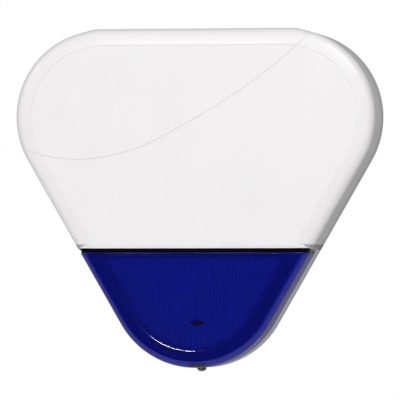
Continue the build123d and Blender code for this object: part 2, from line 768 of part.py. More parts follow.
ribbon_plug_z = board_low + 3.5
strobe_plug_z = strobe_centre + strobe_height / 2 - 2.5
with BuildPart() as ribbon_plugs:
    block(0, ribbon_plug_z, board_front, ribbon_width + 2, 5, 5)
    block(0, strobe_plug_z, strobe_front, ribbon_width + 2, 4, 4)
    chamfer(edges_at_depth(board_front + 5) + edges_at_depth(strobe_front + 4), length=0.4)
ribbon_plugs.part.label = "ribbon_plugs"
export_step(ribbon_plugs.part, "parts/ribbon_plugs.step")

with BuildPart() as strobe_ribbon:
    with BuildLine(Plane.YZ) as ribbon_route:
        FilletPolyline(
            (-board_front - 2.5, ribbon_plug_z - 2.5),
            (-board_front - 2.5, board_low - 4),
            (-strobe_front - 2, strobe_plug_z + 6),
            (-strobe_front - 2, strobe_plug_z + 2),
            radius=2.0,
        )
    with BuildSketch(Plane.XY.offset(ribbon_plug_z - 2.5)) as ribbon_section:
        with Locations((0, -board_front - 2.5)):
            Rectangle(ribbon_width, ribbon_thickness)
    sweep()
strobe_ribbon.part.label = "strobe_ribbon"
export_step(strobe_ribbon.part, "parts/strobe_ribbon.step")

# ======== front tamper switch: body, sprung plunger with a diamond head that the lens's post holds in
tamper_place = [(0, tamper_z)]
tamper_body_front = tray_floor + tamper_body_height
pin_back = tamper_body_front - 6.5
collar_depth = tamper_tip - diamond_thickness - 2
with BuildPart() as tamper_switch:
    block(0, tamper_z, tray_floor, tamper_body + 4, tamper_body, tamper_body_height)
    fillet(edges().filter_by(Axis.Y), radius=1.2)
    chamfer(edges_at_depth(tamper_body_front), length=0.8)
    posts(tamper_place, tamper_pin + tamper_fit, pin_back - tamper_travel - 0.5, big, mode=Mode.SUBTRACT)
tamper_switch.part.label = "tamper_switch"
export_step(tamper_switch.part, "parts/tamper_switch.step")

with BuildPart() as tamper_plunger:
    posts(tamper_place, tamper_pin, pin_back, tamper_tip - diamond_thickness - pin_back)
    posts(tamper_place, 2.2 * tamper_pin, collar_depth, 2)
    with BuildSketch(front(tamper_tip - diamond_thickness)) as diamond:
        with Locations((0, tamper_z)):
            with BuildLine():
                Polyline(
                    (-diamond_width / 2, tamper_z),
                    (0, tamper_z + diamond_height / 2),
                    (diamond_width / 2, tamper_z),
                    (0, tamper_z - diamond_height / 2),
                    close=True,
                )
            make_face()
    extrude(amount=diamond_thickness)
    chamfer(edges_at_depth(tamper_tip), length=0.4)
tamper_plunger.part.label = "tamper_plunger"
export_step(tamper_plunger.part, "parts/tamper_plunger.step")

with BuildPart() as tamper_spring:
    posts(tamper_place, 2.0 * tamper_pin, tamper_body_front + 0.1, collar_depth - tamper_body_front - 0.2)
    posts(tamper_place, 1.5 * tamper_pin, 0, big, mode=Mode.SUBTRACT)
tamper_spring.part.label = "tamper_spring"
export_step(tamper_spring.part, "parts/tamper_spring.step")

# ======== rear tamper switch: the wall holds its plunger flush with the back
rear_place = [(rear_x, rear_z)]
collar_back = tray_floor + rear_travel + rear_fit
collar_front = collar_back + 2
rear_bore_end = tray_floor + rear_body_height - 1.5
with BuildPart() as rear_switch:
    block(rear_x, rear_z, tray_floor, rear_body, rear_body, rear_body_height)
    fillet(edges().filter_by(Axis.Y), radius=1.2)
    chamfer(edges_at_depth(tray_floor + rear_body_height), length=0.8)
    posts(rear_place, rear_collar + rear_fit, tray_floor, rear_bore_end - tray_floor, mode=Mode.SUBTRACT)
rear_switch.part.label = "rear_switch"
export_step(rear_switch.part, "parts/rear_switch.step")

with BuildPart() as rear_plunger:
    posts(rear_place, rear_pin, 0, collar_back)
    posts(rear_place, rear_collar, collar_back, collar_front - collar_back)
    chamfer(edges_at_depth(0), length=0.5)
rear_plunger.part.label = "rear_plunger"
export_step(rear_plunger.part, "parts/rear_plunger.step")

with BuildPart() as rear_spring:
    posts(rear_place, rear_collar * 0.9, collar_front + 0.1, rear_bore_end - collar_front - 0.2)
    posts(rear_place, rear_collar * 0.65, 0, big, mode=Mode.SUBTRACT)
rear_spring.part.label = "rear_spring"
export_step(rear_spring.part, "parts/rear_spring.step")

# ======== cover: creased shell with a window for the lens
def groove_side(track, side):
    """One edge of the groove: its centre line shifted sideways by half the groove's width."""
    steps = 2 * len(groove_points)
    shifts = [track % (i / steps) for i in range(steps + 1)]
    return [
        track @ (i / steps) + Vector(-shift.Y, shift.X) * (side * groove_width / 2)
        for i, shift in enumerate(shifts)
    ]


panel_low = split_z + lower_band
panel_high = top_z
groove_track = Edge.make_spline([Vector(*point) for point in groove_points])
with BuildPart() as groove_band:
    with BuildSketch(front(case_depth / 2)) as groove_face:
        with BuildLine():
            upper = Spline(*groove_side(groove_track, 1))
            lower = Spline(*groove_side(groove_track, -1))
            Line(upper @ 0, lower @ 0)
            Line(upper @ 1, lower @ 1)
        make_face()
    extrude(amount=case_depth)
groove_rear = case_depth - edge_radius - cover_wall  # the groove fades out where the side wall starts
with BuildPart() as groove_skin:
    add(sunk_form(0, groove_rear, panel_low, panel_high))
    add(sunk_form(groove_depth, groove_rear - 1, panel_low, panel_high), mode=Mode.SUBTRACT)
    add(groove_band.part, mode=Mode.INTERSECT)

with BuildPart() as cover:
    add(sunk_form(0, cover_lift, panel_low, panel_high))
    add(front_form(cover_wall, 0), mode=Mode.SUBTRACT)
    block(0, split_z - big / 2, skirt_depth, big, big, big, mode=Mode.SUBTRACT)
    add(groove_skin.part, mode=Mode.SUBTRACT)
    # sloping band along the white front's lower edge
    with BuildSketch(Plane.YZ.offset(-big / 2)):
        with BuildLine():
            Polyline(
                (-case_depth, split_z + lower_band),
                (-case_depth, split_z),
                (-case_depth + lower_band * tan(radians(band_slope)), split_z),
                close=True,
            )
        make_face()
    extrude(amount=big, mode=Mode.SUBTRACT)
    # stiffening ribs and screw bosses behind the front
    rib_seat = inner_front - cover_rib_height
    for x in (-cover_rib_spacing / 2, cover_rib_spacing / 2):
        block(x, upper_z + 5, rib_seat, cover_rib, cover_rib_length, cover_rib_height + 0.5)
    posts(flange_holes, pillar_radius, flange_depth, inner_front - flange_depth + 0.5)
    posts(flange_holes, pilot_radius, flange_depth, inner_front - flange_depth + 1, mode=Mode.SUBTRACT)
    # slots in the top wall for the hooks, each crossed by a bar
    slot_width = hook_width + 2 * hook_side_gap
    for x in hook_places:
        block(x, top_z, 0, slot_width, 4 * cover_wall, hook_front + hinge_depth, mode=Mode.SUBTRACT)
        with BuildSketch(Plane.YZ.offset(x - slot_width / 2 - 1)) as bar:
            with Locations((-hinge_depth, hinge_z)):
                Circle(hinge_bar)
        extrude(amount=slot_width + 2)
    # pocket under the lowest point for the cover screw
    with BuildSketch(Plane.XY.offset(low_z + cover_wall / 2)) as pocket:
        with Locations((0, -screw_depth)):
            Circle(pocket_radius)
    extrude(amount=pocket_top - low_z - cover_wall / 2)
    with BuildSketch(Plane.XY.offset(low_z - 1)) as head_bore:
        with Locations((0, -screw_depth)):
            Circle(screw_head_radius + pocket_clear)
    extrude(amount=pocket_depth + 1, mode=Mode.SUBTRACT)
    with BuildSketch(Plane.XY.offset(pocket_seat)) as shank_bore:
        with Locations((0, -screw_depth)):
            Circle(screw_radius + screw_clear)
    extrude(amount=pocket_floor, mode=Mode.SUBTRACT)
    with BuildSketch(Plane.XY.offset(pocket_top - retainer_height)) as retainer_seat:
        with Locations((0, -screw_depth)):
            Circle(retainer_radius + press_gap)
    extrude(amount=retainer_height + 1, mode=Mode.SUBTRACT)
cover.part.label = "cover"
export_step(cover.part, "parts/cover.step")

with BuildPart() as screw_retainer:
    with BuildSketch(Plane.XY.offset(pocket_top - retainer_height)) as retainer_ring:
        with Locations((0, -screw_depth)):
            Circle(retainer_radius)
            Circle(screw_radius + small_bore_gap, mode=Mode.SUBTRACT)
    extrude(amount=retainer_height)
screw_retainer.part.label = "screw_retainer"
export_step(screw_retainer.part, "parts/screw_retainer.step")

# ======== cover screw, drawn backed out so that the cover can swing
crown_height = screw_head_height / 2
crown_radius = (screw_head_radius**2 + crown_height**2) / (2 * crown_height)
crown_angle = degrees(asin(screw_head_radius / crown_radius))
with BuildPart() as cover_screw:
    with BuildSketch(Plane.XZ) as screw_half:
        with BuildLine():
            crown = CenterArc(
                (0, head_seat - screw_head_height + crown_radius), crown_radius, 270, crown_angle
            )
            Polyline(
                crown @ 1,
                (screw_head_radius, head_seat),
                (screw_radius, head_seat),
                (screw_radius, head_seat + screw_reach - 1),
                (screw_radius - 0.7, head_seat + screw_reach),
                (0, head_seat + screw_reach),
                crown @ 0,
            )
        make_face()
    revolve(axis=Axis.Z)
    # six-point recess in the head
    with BuildSketch(Plane.XY.offset(head_seat - screw_head_height)) as key:
        RegularPolygon(screw_head_radius * 0.42, 6)
    extrude(amount=screw_head_height * 0.6, mode=Mode.SUBTRACT)
screw_placed = cover_screw.part.move(Location((0, -screw_depth, 0)))
screw_placed.label = "cover_screw"
export_step(screw_placed, "parts/cover_screw.step")

# ======== lens: hollow shell, flange, rear tongue, fluted front, screw notch and tamper post
with BuildPart() as flutes:
    flute_count = int((2 * corner_radius + 24) / flute_pitch)
    flute_base = case_depth - lens_wall
    comb_left = -flute_count * flute_pitch / 2
    with BuildSketch(Plane.XY.offset(low_z)) as comb:
        with BuildLine():
            teeth = [(comb_left, -flute_base - 0.6)]
            for i in range(flute_count):
                teeth.append((comb_left + i * flute_pitch, -flute_base))
                teeth.append((comb_left + (i + 0.5) * flute_pitch, -flute_base + flute_height))
            teeth.append((-comb_left, -flute_base))
            teeth.append((-comb_left, -flute_base - 0.6))
            Polyline(*teeth, close=True)
        make_face()
    extrude(amount=lens_top - lens_wall - 1 - low_z)
    flute_field = delta(case_depth / 2, band_width + flute_margin).face()
    add(Solid.extrude(flute_field, Vector(0, -case_depth, 0)), mode=Mode.INTERSECT)

flange_low = lens_top - lens_wall / 2
flange_top = split_z + flange_height
collar_outer = cover_wall + tongue_gap
with BuildPart() as lens_flange:
    # plate behind the cover's front, with side walls that run back inside the cover's side walls
    extrude(delta(lens_rear, collar_outer), amount=flange_depth - lens_rear)
    collar_inner = delta(lens_rear, collar_outer + tongue_thickness)
    extrude(collar_inner, amount=flange_depth - flange_thickness - lens_rear, mode=Mode.SUBTRACT)
    cut_above(flange_top)
    block(0, flange_low - big / 2, 0, big, big, big, mode=Mode.SUBTRACT)
    posts(flange_holes, pilot_radius, 0, big, mode=Mode.SUBTRACT)

tongue_outer = cover_wall + tongue_gap
with BuildPart() as lens_tongue:
    extrude(delta(lens_rear - tongue_length, tongue_outer), amount=tongue_length + lens_wall)
    extrude(delta(lens_rear, lens_wall / 2), amount=lens_wall)
    extrude(delta(0, tongue_outer + tongue_thickness), amount=case_depth, mode=Mode.SUBTRACT)
    cut_above(lens_top - lens_wall / 2)
    # gap for the cover's screw pocket
    block(0, low_z, 0, 2 * pocket_radius + 4, 8 * cover_wall, lens_rear, mode=Mode.SUBTRACT)

with BuildPart() as lens:
    add(lens_form(0, lens_rear, lens_top))
    add(lens_form(lens_wall, lens_rear - 1, lens_top - lens_wall), mode=Mode.SUBTRACT)
    add(flutes.part)
    add(lens_flange.part)
    add(lens_tongue.part)
    # post that holds the tamper plunger in
    posts(tamper_place, tamper_pin, tamper_tip + post_gap, flute_base - tamper_tip)
    # notch in the lowest wall, with a pocket behind it
    notch_front = lens_rear + notch_length
    block(0, low_z + notch_height / 2 + 1, lens_rear, notch_width + 2 * notch_wall, notch_height,
          notch_length + notch_wall)
    add(front_form(0, 0), mode=Mode.INTERSECT)
    block(0, low_z, 0, notch_width, 2 * (notch_height + 1 - notch_wall), notch_front, mode=Mode.SUBTRACT)
lens.part.label = "lens"
export_step(lens.part, "parts/lens.step")

with BuildPart() as lens_screws:
    pan_screws_facing_in(flange_holes, flange_depth - flange_thickness, flange_thickness + 4)
lens_screws.part.label = "lens_screws"
export_step(lens_screws.part, "parts/lens_screws.step")
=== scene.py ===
import json
from math import asin, cos, degrees, pi, radians, sin, sqrt, tan

import bmesh
import bpy
import numpy as np
from mathutils import Matrix, Vector


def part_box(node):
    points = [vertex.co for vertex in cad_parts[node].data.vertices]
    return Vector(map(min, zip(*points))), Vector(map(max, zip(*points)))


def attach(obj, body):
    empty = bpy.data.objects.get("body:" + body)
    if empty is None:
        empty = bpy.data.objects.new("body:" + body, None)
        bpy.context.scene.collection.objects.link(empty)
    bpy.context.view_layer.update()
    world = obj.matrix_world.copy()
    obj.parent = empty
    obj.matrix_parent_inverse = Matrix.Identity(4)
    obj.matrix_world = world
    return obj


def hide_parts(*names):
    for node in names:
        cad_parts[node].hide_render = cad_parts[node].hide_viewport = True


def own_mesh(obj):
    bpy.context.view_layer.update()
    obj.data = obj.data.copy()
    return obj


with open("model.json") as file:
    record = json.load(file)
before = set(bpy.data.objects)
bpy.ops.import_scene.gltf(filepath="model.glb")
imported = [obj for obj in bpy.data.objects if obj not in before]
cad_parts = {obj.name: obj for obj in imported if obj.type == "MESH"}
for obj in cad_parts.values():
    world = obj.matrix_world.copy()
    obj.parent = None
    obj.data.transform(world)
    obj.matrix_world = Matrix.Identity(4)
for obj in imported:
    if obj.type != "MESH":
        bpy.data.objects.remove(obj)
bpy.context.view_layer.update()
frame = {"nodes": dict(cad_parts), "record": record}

# Wall-mounted alarm siren with a strobe behind a blue lens. Metres; the wall is the plane Y = 0, the front
# faces -Y, and "depth" is the distance out from the wall. "Inset" is the distance in from the case's edge.
MM = 0.001
UP, OUT = pi / 2, -1  # direction of the top edge's normal; a depth times OUT is a Y
sharp_edge = radians(35)

# ---- driving sizes of the case
corner_radius = 71.5 * MM
corner_spacing = 157.0 * MM
top_rise = 0.9 * MM
top_run_in = radians(15)
top_blend = 30.0 * MM
case_depth = 60.0 * MM
band_width = 13.5 * MM
band_slope = radians(12)
edge_radius = 8.2 * MM
ridge_radius = 0.35 * MM  # rounding of the ridge between band and front, and of the foot inside it
crease_radius = 5 * MM  # rounding between the lens's band and its level front
recess_depth = 0.5 * MM  # the front inside the ridge lies this much deeper
recess_run = 0.6 * MM
recess_corner = 5.0 * MM
lip_radius = 0.6 * MM  # rounding of the moulded edges
cover_wall = 3.0 * MM
cover_lift = 1.0 * MM
skirt_depth = 24.5 * MM
split_height = 98.6 * MM
shadow_gap = 3.5 * MM
lower_band = 3.3 * MM  # narrow band along the cover's lower edge
lens_wall = 2.5 * MM
lens_band = 2.8 * MM  # strip above the crease round the lens's front
lens_rear = skirt_depth + 0.3 * MM
flute_pitch = 2.65 * MM
flute_height = 0.9 * MM
flute_inset = band_width + 1.5 * MM
flange_height = 16.0 * MM
flange_depth = 52.0 * MM
flange_thickness = 2.5 * MM
tongue_outer = cover_wall + 0.25 * MM
tongue_thickness = 1.6 * MM
tongue_length = 5.0 * MM
land_inset = 0.9 * MM  # side faces of the lens between its top and the cover
groove_width = 0.9 * MM
groove_depth = 0.7 * MM
groove_points = np.array([(-156, 24), (-99.7, 9.9), (-51.6, 17.7), (-5, 40), (52, 75.7), (106, 122)]) * MM
notch_width, notch_length, notch_height, notch_wall = 13.0 * MM, 12.0 * MM, 8.0 * MM, 1.8 * MM

# ---- worked out from them
half_spacing = corner_spacing / 2
upper_z = corner_spacing / (2 * sqrt(3))
lower_z = -corner_spacing / sqrt(3)
top_z = upper_z + corner_radius + top_rise
low_z = lower_z - corner_radius
split_z = low_z + split_height
lens_top = split_z - shadow_gap
top_climb = top_rise + corner_radius * (1 - cos(top_run_in))
blend_x = (half_spacing + corner_radius * sin(top_run_in) - top_climb / tan(top_run_in)
           - top_blend * tan(top_run_in / 2))
blend_z = top_z - top_blend

# ---- places taken from the frame
screw_low, screw_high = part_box("cover_screw")
screw_depth = -(screw_low.y + screw_high.y) / 2
tamper_low, tamper_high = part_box("tamper_plunger")
tamper_z = (tamper_low.z + tamper_high.z) / 2


# ======== meshes from arrays
def weld(points, faces, fineness=2e-7):
    """Points that coincide become one, and faces that lose a corner drop it."""
    keys = np.round(np.asarray(points) / fineness).astype(np.int64)
    _, first, number = np.unique(keys, axis=0, return_index=True, return_inverse=True)
    number = number.reshape(-1)
    kept = []
    for face in faces:
        corners = [int(number[i]) for i in face]
        corners = [c for k, c in enumerate(corners) if c != corners[k - 1]]
        if len(corners) > 2:
            kept.append(corners)
    return np.asarray(points)[first], kept


def joined(*patches):
    """Patches of (points, faces) as one, with their shared borders welded."""
    points, faces, count = [], [], 0
    for patch_points, patch_faces in patches:
        patch_points = np.asarray(patch_points).reshape(-1, 3)
        points.append(patch_points)
        faces += [[i + count for i in face] for face in patch_faces]
        count += len(patch_points)
    return weld(np.concatenate(points), faces)


def together(*arrays):
    """Arrays that broadcast to one shape, side by side along a new last axis."""
    return np.stack(np.broadcast_arrays(*arrays), axis=-1)


def whole_turn(steps):
    """Even steps of an angle round a circle, without the last one."""
    return np.linspace(0, 2 * pi, steps, endpoint=False)


def grid(points, closed=False):
    """A patch from a (rows, columns, 3) array: a quad between each four neighbours, closed across or open."""
    rows, columns = points.shape[:2]
    r = np.arange(rows - 1)[:, None] * columns
    c = np.arange(columns if closed else columns - 1)[None, :]
    beside = (c + 1) % columns
    quads = together(r + c, r + beside, r + columns + beside, r + columns + c)
    return points.reshape(-1, 3), quads.reshape(-1, 4).tolist()


def filled(loop):
    """A flat patch inside one closed loop of points."""
    return np.asarray(loop), [list(range(len(loop)))]


def capped(rings):
    """A closed bar: the wall through a row of rings, and a flat cap in the first and the last."""
    return joined(grid(rings, closed=True), filled(rings[0]), filled(rings[-1]))


def placed(x, depth, z):
    """An array of points from arrays of x, depth and z."""
    return together(x, OUT * np.asarray(depth), z)


def shaded(mesh):
    """Smooth shading, apart from the edges that are sharper than the limit."""
    mesh.shade_smooth()
    mesh.set_sharp_from_angle(angle=sharp_edge)


def unit(vectors):
    """Vectors divided by their lengths."""
    return vectors / np.linalg.norm(vectors, axis=-1, keepdims=True)


def travelled(path):
    """How far along a path each of its points is: the running total of the steps between them."""
    return np.concatenate([[0], np.cumsum(np.linalg.norm(np.diff(path, axis=0), axis=1))])


def read_off(rows, distance, at):
    """Rows known at some distances along a path, read off in a straight line at others."""
    return together(*(np.interp(at, distance, column) for column in rows.T))


def shown(name, data):
    """A new object with its data, in the scene."""
    obj = bpy.data.objects.new(name, data)
    bpy.context.collection.objects.link(obj)
    return obj


def piece(name, patch, body, material):
    """A shaded object from a patch, with its faces turned outwards, that rides on a body."""
    points, faces = patch
    mesh = bpy.data.meshes.new(name)
    mesh.from_pydata(np.asarray(points).tolist(), [], faces)
    mesh.validate()
    obj = shown(name, mesh)
    turned_out(mesh)
    shaded(mesh)
    mesh.materials.append(material)
    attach(obj, body)
    return obj


def turned_out(mesh):
    """All faces of a closed mesh made to point outwards."""
    work = bmesh.new()
    work.from_mesh(mesh)
    bmesh.ops.recalc_face_normals(work, faces=work.faces)
    work.to_mesh(mesh)
    work.free()


def carved(obj, cutters, operation="DIFFERENCE"):
    """Boolean of a piece with closed patches, applied, with its edges marked sharp afresh."""
    for patch in cutters:
        mesh = bpy.data.meshes.new("cutter")
        mesh.from_pydata(np.asarray(patch[0]).tolist(), [], patch[1])
        turned_out(mesh)
        cutter = shown("cutter", mesh)
        step = obj.modifiers.new("cut", "BOOLEAN")
        step.operation, step.solver, step.object = operation, "EXACT", cutter
        bpy.context.view_layer.update()
        result = bpy.data.meshes.new_from_object(obj.evaluated_get(bpy.context.evaluated_depsgraph_get()))
        obj.modifiers.clear()
        obj.data = result
        bpy.data.objects.remove(cutter)
    shaded(obj.data)


# ======== the case's outline and profile
def station_rows(centre_x, centre_z, radius, angle, level=np.nan):
    """Stations as rows of centre x, centre z, radius, direction and level (none on a corner)."""
    return together(centre_x, centre_z, radius, angle, level)


def arc(centre_x, centre_z, radius, start, end, step=radians(3)):
    """Stations along a corner, from one direction to another in degrees."""
    count = max(2, int(round(abs(radians(end - start)) / step)) + 1)
    return station_rows(centre_x, centre_z, radius, np.linspace(radians(start), radians(end), count))


def side(right, levels):
    """Stations along a straight side at given levels."""
    x, angle = (half_spacing, -30) if right else (-half_spacing, 210)
    return station_rows(x, upper_z, corner_radius, radians(angle), levels)


def over_top(levels):
    """Stations from the left side up over the top to the right side; levels run up the sides."""
    return np.concatenate([
        side(False, levels),
        arc(-half_spacing, upper_z, corner_radius, 210, 90 + degrees(top_run_in)),
        arc(-blend_x, blend_z, top_blend, 90 + degrees(top_run_in), 90),
        arc(blend_x, blend_z, top_blend, 90, 90 - degrees(top_run_in)),
        arc(half_spacing, upper_z, corner_radius, 90 - degrees(top_run_in), -30),
        side(True, levels[::-1]),
    ])


def round_bottom(levels):
    """Stations from the right side down round the lowest corner to the left side; levels run down."""
    return np.concatenate([
        side(True, levels), arc(0, lower_z, corner_radius, -30, -150), side(False, levels[::-1])])


def lay(stations, inset):
    """x and z of the stations on the outline moved in by inset.

    Centre plus (radius less inset) times the direction; a station with a level slides along its straight
    side to that height.
    """
    centre_x, centre_z, radius, angle, level = stations.T
    reach = radius - inset
    x = centre_x + reach * np.cos(angle)
    z = centre_z + reach * np.sin(angle)
    slid = ~np.isnan(level)
    drop = np.where(slid, np.nan_to_num(level) - z, 0)
    return x - drop * np.where(slid, np.tan(angle), 0), z + drop


def ring_at(stations, inset, depth):
    """Points of the stations on the outline moved in by inset, at a depth."""
    x, z = lay(stations, inset)
    return placed(x, depth, z)


def rounded(corners, radii, rows):
    """A line through corners, the inner ones rounded to their radii by their rows of points.

    Corners are (inset, depth). Also gives the direction the surface faces at each point: 0 where it faces
    sideways, a right angle where it faces forwards.
    """
    corners = np.asarray(corners, float)
    ahead = np.diff(corners, axis=0)
    faces = np.arctan2(ahead[:, 0], ahead[:, 1])
    along = unit(ahead)
    points, directions = [corners[:1]], [faces[:1]]
    for k, (radius, count) in enumerate(zip(radii, rows)):
        bend = faces[k + 1] - faces[k]
        turn = np.linspace(faces[k], faces[k + 1], count)
        hand = -1 if bend < 0 else 1
        outwards = together(-np.cos(turn), np.sin(turn))
        start = corners[k + 1] - along[k] * radius * tan(abs(bend) / 2)
        points.append(start + hand * radius * (outwards - outwards[0]))
        directions.append(turn)
    points.append(corners[-1:])
    directions.append(faces[-1:])
    inset, depth = np.concatenate(points).T
    return inset, depth, np.concatenate(directions)


def profile(skin, rear, edge_rows=9):
    """Inset, depth and direction of the case's section, skin deep, from the rear up to the flat front.

    A straight wall, an arc of the edge radius less skin, the sloping band, and the crease to the front.
    """
    crease = band_width + skin * tan(band_slope / 2)
    front = case_depth - skin
    mitre = band_width - lower_band
    corners = [(skin, rear), (skin, rear + lip_radius), (skin, front - (crease - skin) * tan(band_slope)),
               (mitre, front - (crease - mitre) * tan(band_slope)), (crease, front), (crease + MM, front)]
    return rounded(corners, (0, edge_radius - skin, 0, ridge_radius), (1, edge_rows, 1, 3))


def ridge(sunk=recess_depth, radius=ridge_radius, rows=(4, 4)):
    """Section round the front: up the band, over the ridge, down the step to the front, sunk or level."""
    front = case_depth - sunk
    corners = [(band_width - 2 * MM, case_depth - 2 * MM * tan(band_slope)), (band_width, case_depth),
               (band_width + recess_run, front), (band_width + 2 * MM, front)]
    inset, depth, direction = rounded(corners, (radius, ridge_radius), rows)
    return inset[1:], depth[1:], direction[1:]


def shell_side(stations, section, shrink=None, lowest=None):
    """Grid of a section carried along the stations; shrink moves a station's points in along the normal.

    The rearmost row stays where it is.
    """
    inset, depth, direction = (a[:, None] for a in section)
    shrink = np.zeros(len(stations)) if shrink is None else shrink
    shrink = np.where(np.arange(len(inset))[:, None] > 0, shrink, 0)
    x, z = lay(stations, inset + shrink * np.cos(direction))
    depth = depth - shrink * np.sin(direction)
    if lowest is not None:
        depth = np.minimum(depth, lowest(z))
    return placed(x, depth, z)


def outer_section(rear, over, edge_rows=9):
    """The case's outer section up to where the ridge's section, over, takes on; and that section."""
    inset, depth, direction = profile(0, rear, edge_rows)
    return ((np.append(inset[:-4], over[0][0]), np.append(depth[:-4], over[1][0]),
             np.append(direction[:-4], over[2][0])), over)


# ======== cover
lip_turn = np.linspace(0, UP, 5)
lip_levels = lip_radius * (1 - np.sin(lip_turn))[::-1]  # heights above the cut, from the cut up
lip_shrink = lip_radius * (1 - np.cos(lip_turn))[::-1]
panel_low = split_z + lower_band
strip_top = panel_low + ridge()[0][0] - band_width
band_levels = np.array([0.35, 0.55, 0.75, 0.9]) * lower_band
strip_levels = np.concatenate([split_z + lip_levels, split_z + band_levels, [strip_top]])
strip_rows = len(strip_levels)
corner_reach = band_width + recess_corner
corner_z = panel_low + recess_corner
corner_x = lay(side(False, [corner_z]), corner_reach)[0][0]


def lip_ends(count):
    """How far each of a number of stations is moved in: the lip's rounding at both ends, none between."""
    return np.concatenate([lip_shrink, np.zeros(count - 2 * len(lip_shrink)), lip_shrink[::-1]])


def panel_corner(right):
    """Stations round one lower corner of the cover's sunk front, from its side round to its lower edge."""
    line = arc(corner_x, corner_z, corner_reach, 210, 270, radians(10))
    if right:
        line = line[::-1].copy()
        line[:, 0] *= -1
        line[:, 3] = pi - line[:, 3]
    return line


high_levels = np.array([12, 25, 40, 55, 68]) * MM + split_z
first_corner, last_corner = panel_corner(False), panel_corner(True)
round_top = over_top(high_levels)
cover_line = np.concatenate([side(False, strip_levels), first_corner[:1], round_top, last_corner[-1:],
                             side(True, strip_levels[::-1])])


def lower_slope(z):
    """Greatest depth near the cover's lower edge: the front less a slope that starts at the lower ridge."""
    return case_depth - np.maximum(panel_low - z, 0) * tan(band_slope)


def fan(edge, rows):
    """A patch inside an open edge, closed by its chord: rows of points from the edge down to the chord."""
    across = np.linspace(0, 1, len(edge))
    chord = edge[0] + across[:, None] * (edge[-1] - edge[0])
    down = np.linspace(0, 1, rows)[:, None, None]
    return edge[None] * (1 - down) + chord[None] * down


def strip(edge, rows, fractions):
    """Rows of points straight across between the two ends of an edge, at given fractions of the way."""
    left, right = edge[:rows][:, None], edge[::-1][:rows][:, None]
    return left + np.asarray(fractions)[None, :, None] * (right - left)


def cover_front():
    """The cover's outer skin: sides, strip below the sunk front, ridge, and the sunk front itself."""
    section, over = outer_section(skirt_depth, ridge())
    sides = shell_side(cover_line, section, lip_ends(len(cover_line)), lower_slope)
    loop = np.concatenate([first_corner[:1], round_top, last_corner[-1:], last_corner[-2::-1],
                           first_corner[:0:-1]])
    panel = shell_side(loop, over)
    edge = sides[-1]
    lower = panel[0][len(round_top) + 1:]
    count = len(first_corner) - 1
    foot_left, foot_right = lower[count + 1], lower[count]
    corners = np.array([edge[strip_rows - 1, 0], foot_left[0], foot_right[0], edge[-strip_rows, 0]])
    rows = strip(edge, strip_rows, (corners - corners[0]) / (corners[-1] - corners[0]))
    right_corner = np.concatenate([edge[-strip_rows][None], lower[:count + 1]])
    left_corner = np.concatenate([edge[strip_rows - 1][None], panel[0][:1], lower[:count:-1]])
    return sides, rows, joined(grid(sides), grid(rows), filled(left_corner), filled(right_corner),
                               grid(panel, closed=True), filled(panel[-1]))


def cover_shell():
    """The cover's wall: an outer and an inner skin, closed at the rear, at the window and at the split."""
    outer_sides, outer_strip, front = cover_front()
    inner_sides = shell_side(cover_line, profile(cover_wall, skirt_depth))
    inner_edge = inner_sides[-1]
    inner_fan = fan(inner_edge[strip_rows - 1:len(cover_line) - strip_rows + 1], 6)
    inner_strip = strip(inner_edge, strip_rows, np.linspace(0, 1, inner_fan.shape[1]))
    below = round_bottom([split_z])
    ring = np.concatenate([cover_line, below[1:-1]])
    rear_turn = np.linspace(0, UP, 4)[:, None]
    rear_round = 0.5 * MM
    rear_x, rear_z = lay(ring, rear_round * (1 - np.sin(rear_turn)))
    rounding = placed(rear_x, cover_lift + rear_round * (1 - np.cos(rear_turn)), rear_z)
    outer_skirt = np.concatenate([rounding, ring_at(ring, 0, skirt_depth)[None]])
    inner_skirt = np.stack([ring_at(ring, cover_wall, depth) for depth in (cover_lift, skirt_depth)])
    rear_rim = np.stack([inner_skirt[0], outer_skirt[0]])
    window_rim = np.stack([ring_at(below, inset, skirt_depth) for inset in (0, cover_wall)])
    outer_cut = np.concatenate([outer_sides[:, 0], outer_strip[0][1:-1], outer_sides[::-1, -1]])
    inner_cut = np.concatenate([inner_sides[:, 0], inner_strip[0][1:-1], inner_sides[::-1, -1]])
    split_loop = np.concatenate([outer_cut, inner_cut[::-1]])
    return joined(grid(outer_skirt, closed=True), grid(inner_skirt, closed=True),
                  grid(rear_rim, closed=True), grid(window_rim), filled(split_loop), front,
                  grid(inner_sides), grid(inner_fan), grid(inner_strip))


def tube(centre, radius, axis, length, sides):
    """A closed cylinder from centre along a unit axis: two circles and their caps."""
    axis = np.asarray(axis, float)
    across = unit(np.cross(axis, (0, 0, 1) if abs(axis[2]) < 0.9 else (1, 0, 0)))
    up = np.cross(axis, across)
    turn = whole_turn(sides)[:, None]
    ring = np.asarray(centre) + radius * (np.cos(turn) * across + np.sin(turn) * up)
    return capped(np.stack([ring, ring + axis * length]))


def block(low, high):
    """A closed box between two corners, as the patch of its six sides."""
    x, y, z = zip(low, high)
    corners = np.array([(x[i], y[j], z[k]) for i in (0, 1) for j in (0, 1) for k in (0, 1)])
    return corners, [[0, 1, 3, 2], [4, 6, 7, 5], [0, 4, 5, 1], [2, 3, 7, 6], [0, 2, 6, 4], [1, 5, 7, 3]]


def turned(section, centre, axis, steps):
    """A section of (radius, height) points turned about a line through centre along x or y."""
    radius, height = np.asarray(section, float).T[..., None]
    turn = whole_turn(steps)
    across, up = radius * np.cos(turn), radius * np.sin(turn)
    points = together(across, height, up) if axis == "y" else together(height, across, up)
    return grid(points + np.asarray(centre), closed=True)


